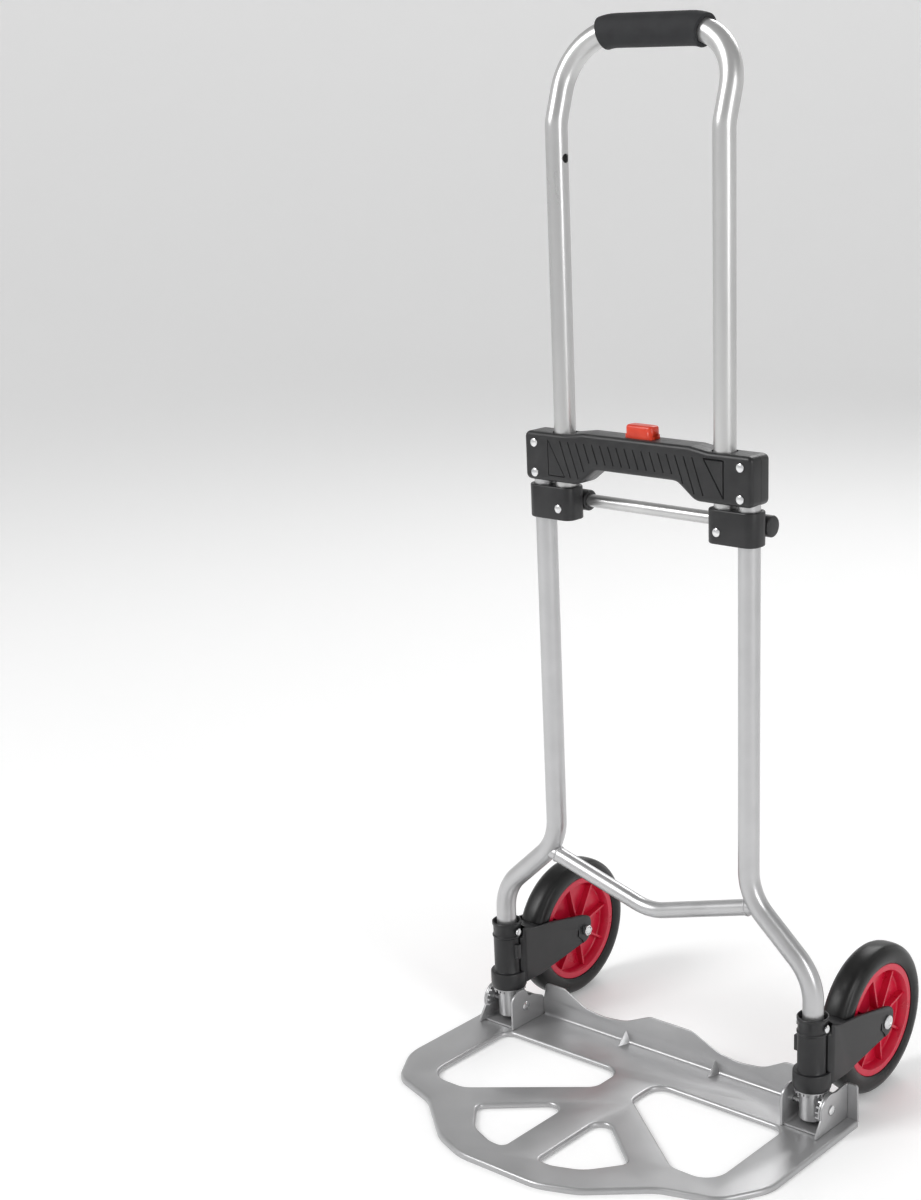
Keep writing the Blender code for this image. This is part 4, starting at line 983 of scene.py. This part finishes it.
HEAD_R = 7 * MM
HEAD_RIM = 0.8 * MM
NUT_R = 6 * MM
head_low, head_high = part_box("axle_bolt_right")
nut_low, nut_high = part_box("axle_nut_right")
axle = (LEG_X, AXLE_Y, AXLE_Z)
shank_end, head_face, head_top = head_low.x - LEG_X, ARM_HALF + CLEAR, head_high.x - LEG_X
dome_rise = head_top - head_face - HEAD_RIM
dome = [(HEAD_R * cos(t), head_face + HEAD_RIM + dome_rise * sin(t)) for t in DOME_TURNS[:4]]
socket = [(3.1 * MM, head_top - 0.3 * MM), (2.4 * MM, head_top - 0.9 * MM), (0, head_top - 1.1 * MM)]
thread_end = [(0, shank_end), (AXLE_R - 0.6 * MM, shank_end), (AXLE_R, shank_end + 0.7 * MM)]
lathe([*thread_end, (AXLE_R, head_face), (HEAD_R, head_face), *dome, *socket], axle, "X", 48)
place_pair("axle_screw_{}", zinc, "wheel_arm_{}", "axle_bolt_{}")

bpy.ops.object.select_all(action="DESELECT")
nut_width = nut_high.x - nut_low.x
bpy.ops.mesh.primitive_cylinder_add(
    vertices=6,
    radius=NUT_R,
    depth=nut_width,
    location=((nut_low.x + nut_high.x) / 2, AXLE_Y, AXLE_Z),
    rotation=(0, pi / 2, 0),
)
bpy.ops.object.transform_apply()
modify("BEVEL", width=0.5 * MM, segments=3)
nut = bpy.context.object
thread = bar((nut_low.x - MM, AXLE_Y, AXLE_Z), (nut_high.x + MM, AXLE_Y, AXLE_Z), 4.2 * MM, 24)
activate(nut)
combine([thread])
place_pair("axle_nut_hex_{}", zinc, "wheel_arm_{}", "axle_nut_{}")


# ---- Wheels ----
# A crimson moulded disc with ribs on both faces, and a solid black tyre stretched over it. The tyre's
# shoulders are round, with a moulded line beside the tread.

RIM_R = 56 * MM
RIM_HALF = 12 * MM
TYRE_HALF = 15 * MM
HUB_R = 13 * MM
HUB_BORE = 5.8 * MM
WEB = 1.8 * MM
RIBS = 8
RIB_HALF = 1.1 * MM
RIB_DROP = 2.2 * MM  # below the rim's face
FIRST_RIB = 0.2  # radians

rubber = new_finish(
    "black_tyre_rubber", "tyre_rubber", (0.008, 0.008, 0.008), (0.015, 0.015, 0.015),
    metallic=0, roughness=(0.26, 0.42), patch=25, grain=0.8, depth=0.04, mirror=0.35,
)
crimson = new_finish(
    "crimson_plastic", "rim_plastic", (0.56, 0.007, 0.034), (0.64, 0.011, 0.048),
    metallic=0, roughness=(0.26, 0.38), patch=16, grain=0.6, depth=0.03,
)

shoulder = [
    (RIM_R + CLEAR, 2.4 * MM),
    (58.5 * MM, 0.9 * MM),
    (61 * MM, 0.2 * MM),
    (64 * MM, 0),
    (67 * MM, 0.5 * MM),
    (69.4 * MM, 1.6 * MM),
    (71.6 * MM, 3.3 * MM),
    (71.9 * MM, 4.1 * MM),
    (73 * MM, 4.8 * MM),
    (74.2 * MM, 7.2 * MM),
    (74.8 * MM, 10 * MM),
    (WHEEL_R, 13 * MM),
]
inner_half = [(r, h - TYRE_HALF) for r, h in shoulder]
outer_half = [(r, TYRE_HALF - h) for r, h in reversed(shoulder)]
lathe(inner_half + outer_half, axle, "X", 144)
place_pair("tyre_ring_{}", rubber, "wheel_{}", "tyre_{}", sharp=50)

outer = [
    (RIM_R, RIM_HALF - 0.5 * MM),
    (RIM_R - 0.5 * MM, RIM_HALF),
    (RIM_R - 6.2 * MM, RIM_HALF),
    (RIM_R - 6.8 * MM, RIM_HALF - 0.6 * MM),
    (RIM_R - 8.6 * MM, WEB + 0.8 * MM),
    (RIM_R - 9.6 * MM, WEB),
    (HUB_R + 1 * MM, WEB),
    (HUB_R + 0.2 * MM, WEB + 0.8 * MM),
    (HUB_R - 0.6 * MM, RIM_HALF - 0.6 * MM),
    (HUB_R - 1.2 * MM, RIM_HALF),
    (HUB_BORE + 0.4 * MM, RIM_HALF),
    (HUB_BORE, RIM_HALF - 0.4 * MM),
]
lathe([(r, -h) for r, h in reversed(outer)] + outer, axle, "X", 108)
disc = bpy.context.object
rib_high = RIM_HALF - RIB_DROP
rib_start, rib_end = HUB_R - 2 * MM, RIM_R - 6.5 * MM
reach = [(rib_start, 0), (rib_end, 0), (rib_end, rib_high - 1.6 * MM), (rib_start, rib_high)]
ribs = []
for number in range(RIBS):
    for side in (-1, 1):
        turn = 2 * pi * number / RIBS + FIRST_RIB
        draw([(LEG_X + side * h, AXLE_Y + r * cos(turn), AXLE_Z + r * sin(turn)) for r, h in reach])
        across = Vector((0, -sin(turn), cos(turn))) * RIB_HALF
        bpy.ops.transform.translate(value=-across)
        pull(2 * across)
        tidy_mesh()
        ribs.append(bpy.context.object)
activate(disc)
combine(ribs, "UNION")
place_pair("wheel_disc_{}", crimson, "wheel_{}", "rim_{}", sharp=35)

coat(zinc, "wheel_bush_left", "wheel_bush_right")


# ---- Hinge brackets ----
# Bent steel brackets, welded behind the toe plate and coated with it. Their ears turn on a pin through
# the foot of each leg, and the outer ear's toothed rim turns the wheel arm as the plate folds.

EAR_INSIDE = 19.1 * MM
EAR_THICK = 2.5 * MM
EAR_R = 16.8 * MM
PLATE_TOP_Z = 5.8 * MM
SHEET = 2.2 * MM
FLANGE_Y = 28.5 * MM
STRIP = 2 * MM
FOLD_R = 2.4 * MM
FOLD_SINK = 0.9 * MM

plate_coat = new_finish(
    "silver_sparkle_coat", "plate_paint", (0.42, 0.42, 0.425), (0.46, 0.46, 0.465),
    metallic=0.6, roughness=(0.3, 0.38), patch=40, grain=1.1, depth=0.06,
)
base_z = PLATE_TOP_Z + CLEAR
strip_back = TUBE_Y + FLANGE_Y - CLEAR
outer_x, inner_x = LEG_X + EAR_INSIDE, LEG_X - EAR_INSIDE

outer_ear = [
    (TUBE_Y - 25 * MM, base_z),
    (TUBE_Y - 25 * MM, base_z + 3 * MM),
    *arc((TUBE_Y, PIN_Z), EAR_R, 195, 90, 20),
    (TUBE_Y + 9 * MM, PIN_Z + 15 * MM),
    (TUBE_Y + 20 * MM, PIN_Z + 16 * MM),
]
outer_ear += soften([
    (strip_back - 3 * MM, PIN_Z + 16 * MM, 0),
    (strip_back, PIN_Z + 16 * MM, 2.5 * MM),
    (strip_back, base_z, 0),
])
inner_ear = soften([
    (TUBE_Y - 21 * MM, base_z, 0),
    (TUBE_Y - 21 * MM, PIN_Z + 14 * MM, 12 * MM),
    (TUBE_Y - 8 * MM, PIN_Z + 20 * MM, 6 * MM),
    (TUBE_Y + 1 * MM, PIN_Z + 18 * MM, 3 * MM),
    (TUBE_Y + 6 * MM, PIN_Z + 8 * MM, 3 * MM),
    (TUBE_Y + 12 * MM, PIN_Z + 9 * MM, 2 * MM),
    (strip_back, PIN_Z + 1 * MM, 2 * MM),
    (strip_back, base_z, 0),
])
slab([(inner_x - EAR_THICK, y, z) for y, z in inner_ear], (EAR_THICK, 0, 0))
bevel(0.5 * MM, 3)
inner = bpy.context.object
slab([(outer_x, y, z) for y, z in outer_ear], (EAR_THICK, 0, 0))
bevel(0.35 * MM, 2, 75)
outer = bpy.context.object
strip_low = (inner_x - EAR_THICK + 0.5 * MM, TUBE_Y - 18.6 * MM, base_z)
strip_high = (outer_x + EAR_THICK - 0.5 * MM, strip_back, base_z + STRIP)
strip = block(strip_low, strip_high, 0.4 * MM, 2)
strip_top = base_z + STRIP
fillets = []
for here, way in ((outer_x, -1), (inner_x, 1)):
    corner_line = [
        (here - way * FOLD_SINK, strip_top + FOLD_R),
        (here - way * FOLD_SINK, strip_top - FOLD_SINK),
        (here + way * FOLD_R, strip_top - FOLD_SINK),
    ]
    curve = [
        (here + way * FOLD_R * (1 - sin(t)), strip_top + FOLD_R * (1 - cos(t)))
        for t in (0, 0.4, 0.8, 1.2, pi / 2)
    ]
    fillet = [(x, TUBE_Y - 18 * MM, z) for x, z in curve + corner_line]
    slab(fillet, (0, strip_back - TUBE_Y + 17.5 * MM, 0))
    fillets.append(bpy.context.object)
activate(inner)
combine([strip, outer], "UNION")
combine(fillets, "UNION")
drill = bar((LEG_X - 30 * MM, TUBE_Y, PIN_Z), (LEG_X + 30 * MM, TUBE_Y, PIN_Z), PIN_R + CLEAR, 28)
activate(inner)
combine([drill])
place_pair("hinge_ears_{}", plate_coat, "toe_plate", "hinge_bracket_{}", sharp=35)

pin_reach = EAR_INSIDE + EAR_THICK + CLEAR
pin_ends = [(LEG_X + side * pin_reach, TUBE_Y, PIN_Z) for side in (-1, 1)]
rivet(*pin_ends, PIN_R, 5 * MM, 1.8 * MM)
place_pair("hinge_rivet_{}", zinc, "toe_plate", "hinge_pin_{}")

coat(plate_coat, "gear_sector_left", "gear_sector_right")


# ---- Toe plate ----
# One pressed steel sheet. Its outer rim and the edges of its four windows are rolled down, and its rear
# edge is bent up into a wavy flange, stiffened by two pressed darts.

PLATE_HALF = 221 * MM
PLATE_FRONT_Y = -235 * MM
FLANGE_TOP = 42 * MM
ROLL = 3.2 * MM
LIP_Z = PLATE_TOP_Z - 4.3 * MM
CREASE_R = 3.6 * MM
DART_X = 56 * MM
DART = 14 * MM
DART_HALF = 6.5 * MM
DART_SINK = 0.8 * MM


def grown(points, distance):
    """A closed outline moved outwards by a distance, or inwards by a negative one."""
    turned = sum(a.cross(b) for a, b in zip(points, points[1:] + points[:1]))
    moved = []
    for i, here in enumerate(points):
        along = points[(i + 1) % len(points)] - points[i - 1]
        outward = Vector((along.y, -along.x)).normalized() * (1 if turned > 0 else -1)
        moved.append(here + outward * distance)
    return moved


def round_in(radius, inward, steps=5):
    """Draws the selected face inwards round a quarter circle that starts level with it, in edit mode."""
    turns = [pi / 2 * k / steps for k in range(steps + 1)]
    for turn, next_turn in zip(turns, turns[1:]):
        bpy.ops.mesh.inset(thickness=radius * (sin(next_turn) - sin(turn)))
        bpy.ops.transform.translate(value=Vector(inward) * radius * (cos(turn) - cos(next_turn)))


def upright(points, low, high):
    """A prism standing on a plan outline of the plate. Left active."""
    slab([(x, TUBE_Y + y, low) for x, y in points], (0, 0, high - low))
    return bpy.context.object


rear = FLANGE_Y + SHEET - 0.2 * MM
outline = soften(mirrored([
    (0.21 * PLATE_HALF, PLATE_FRONT_Y, 60 * MM),
    (0.38 * PLATE_HALF, PLATE_FRONT_Y + 14 * MM, 60 * MM),
    (0.63 * PLATE_HALF, PLATE_FRONT_Y + 58 * MM, 45 * MM),
    (0.88 * PLATE_HALF, PLATE_FRONT_Y + 75 * MM, 35 * MM),
    (PLATE_HALF, PLATE_FRONT_Y + 117 * MM, 45 * MM),
    (PLATE_HALF, rear, 4 * MM),
]), step=4)
big_window = [
    (23 * MM, -24 * MM, 16 * MM),
    (23 * MM, -62.6 * MM, 14 * MM),
    (127 * MM, -139 * MM, 22 * MM),
    (172 * MM, -139 * MM, 28 * MM),
    (172 * MM, -24 * MM, 12 * MM),
]
small_window = [
    (21 * MM, -101 * MM, 12 * MM),
    (21 * MM, -201 * MM, 6 * MM),
    (37 * MM, -201 * MM, 25 * MM),
    (66 * MM, -190 * MM, 35 * MM),
    (92 * MM, -158 * MM, 7 * MM),
]
windows = []
for window in (big_window, small_window):
    windows.append(soften(window, step=7))
    windows.append(soften([(-x, y, r) for x, y, r in window], step=7))

below = -12 * MM
room = upright(grown(outline, -SHEET), below - MM, PLATE_TOP_Z - SHEET)
bases = [upright(grown(window, SHEET), below - 2 * MM, PLATE_TOP_Z) for window in windows]
activate(room)
combine(bases)
draw([(x, TUBE_Y + y, below) for x, y in outline])
pull((0, 0, PLATE_TOP_Z - ROLL - below))
round_over(ROLL, (0, 0, 1))
tidy_mesh()
sheet = bpy.context.object
holes = []
for window in windows:
    draw([(x, TUBE_Y + y, PLATE_TOP_Z + MM) for x, y in grown(window, ROLL)])
    pull((0, 0, -MM))
    round_in(ROLL, (0, 0, -1))
    pull((0, 0, below - MM - PLATE_TOP_Z + ROLL))
    tidy_mesh()
    holes.append(bpy.context.object)
activate(sheet)
combine(holes)
under_lips = [upright(grown(window, 2 * SHEET), below - 3 * MM, LIP_Z) for window in windows]
under_low = (-PLATE_HALF - MM, TUBE_Y + PLATE_FRONT_Y - MM, below - 4 * MM)
under = block(under_low, (PLATE_HALF + MM, TUBE_Y + rear + 5 * MM, 0.001 * MM))
activate(sheet)
combine([room, *under_lips, under])

ear_low = inner_x - EAR_THICK
ear_high = outer_x + EAR_THICK
flange = soften(mirrored([
    (26 * MM, FLANGE_TOP, 14 * MM),
    (57 * MM, FLANGE_TOP - 14 * MM, 45 * MM),
    (85 * MM, FLANGE_TOP - 17.5 * MM, 60 * MM),
    (112 * MM, FLANGE_TOP - 14 * MM, 40 * MM),
    (138 * MM, FLANGE_TOP, 14 * MM),
    (ear_low - 4 * MM, FLANGE_TOP, 4 * MM),
    (ear_low, PIN_Z - 2 * MM, 2 * MM),
    (ear_high - EAR_THICK, PIN_Z - 2 * MM, 2 * MM),
    (ear_high - EAR_THICK, FLANGE_TOP, 1 * MM),
    (PLATE_HALF - 2 * MM, FLANGE_TOP, 3 * MM),
    (PLATE_HALF - 1 * MM, PLATE_TOP_Z - SHEET, 0),
]), step=6)
slab([(x, TUBE_Y + FLANGE_Y, z) for x, z in flange], (0, SHEET, 0))
flange_sheet = bpy.context.object
bevel(0.7 * MM, 3)
crease_y, sink = TUBE_Y + FLANGE_Y, 0.6 * MM
hollow = [
    (crease_y - CREASE_R * (1 - sin(t)), PLATE_TOP_Z + CREASE_R * (1 - cos(t)))
    for t in (*DOME_TURNS, pi / 2)
]
corner_line = [
    (crease_y + sink, PLATE_TOP_Z + CREASE_R),
    (crease_y + sink, PLATE_TOP_Z - sink),
    (crease_y - CREASE_R, PLATE_TOP_Z - sink),
]
reach_x = ear_low - 1.5 * MM
slab([(-reach_x, y, z) for y, z in hollow + corner_line], (2 * reach_x, 0, 0))
crease_bar = bpy.context.object
darts = []
dart_y, low, high = crease_y + DART_SINK, PLATE_TOP_Z - DART_SINK, PLATE_TOP_Z + DART
for x in (-DART_X, DART_X):
    draw([(x - DART_HALF, dart_y, low), (x + DART_HALF, dart_y, low), (x, dart_y, high)])
    pull((0, -DART - 1.5 * MM, -(high - low) / 3))
    bpy.ops.mesh.merge(type="CENTER")
    tidy_mesh()
    bevel(0.8 * MM, 3, 40)
    darts.append(bpy.context.object)
activate(sheet)
combine([flange_sheet, crease_bar, *darts], "UNION")
place("toe_plate_sheet", plate_coat, "toe_plate", "toe_plate", sharp=40)
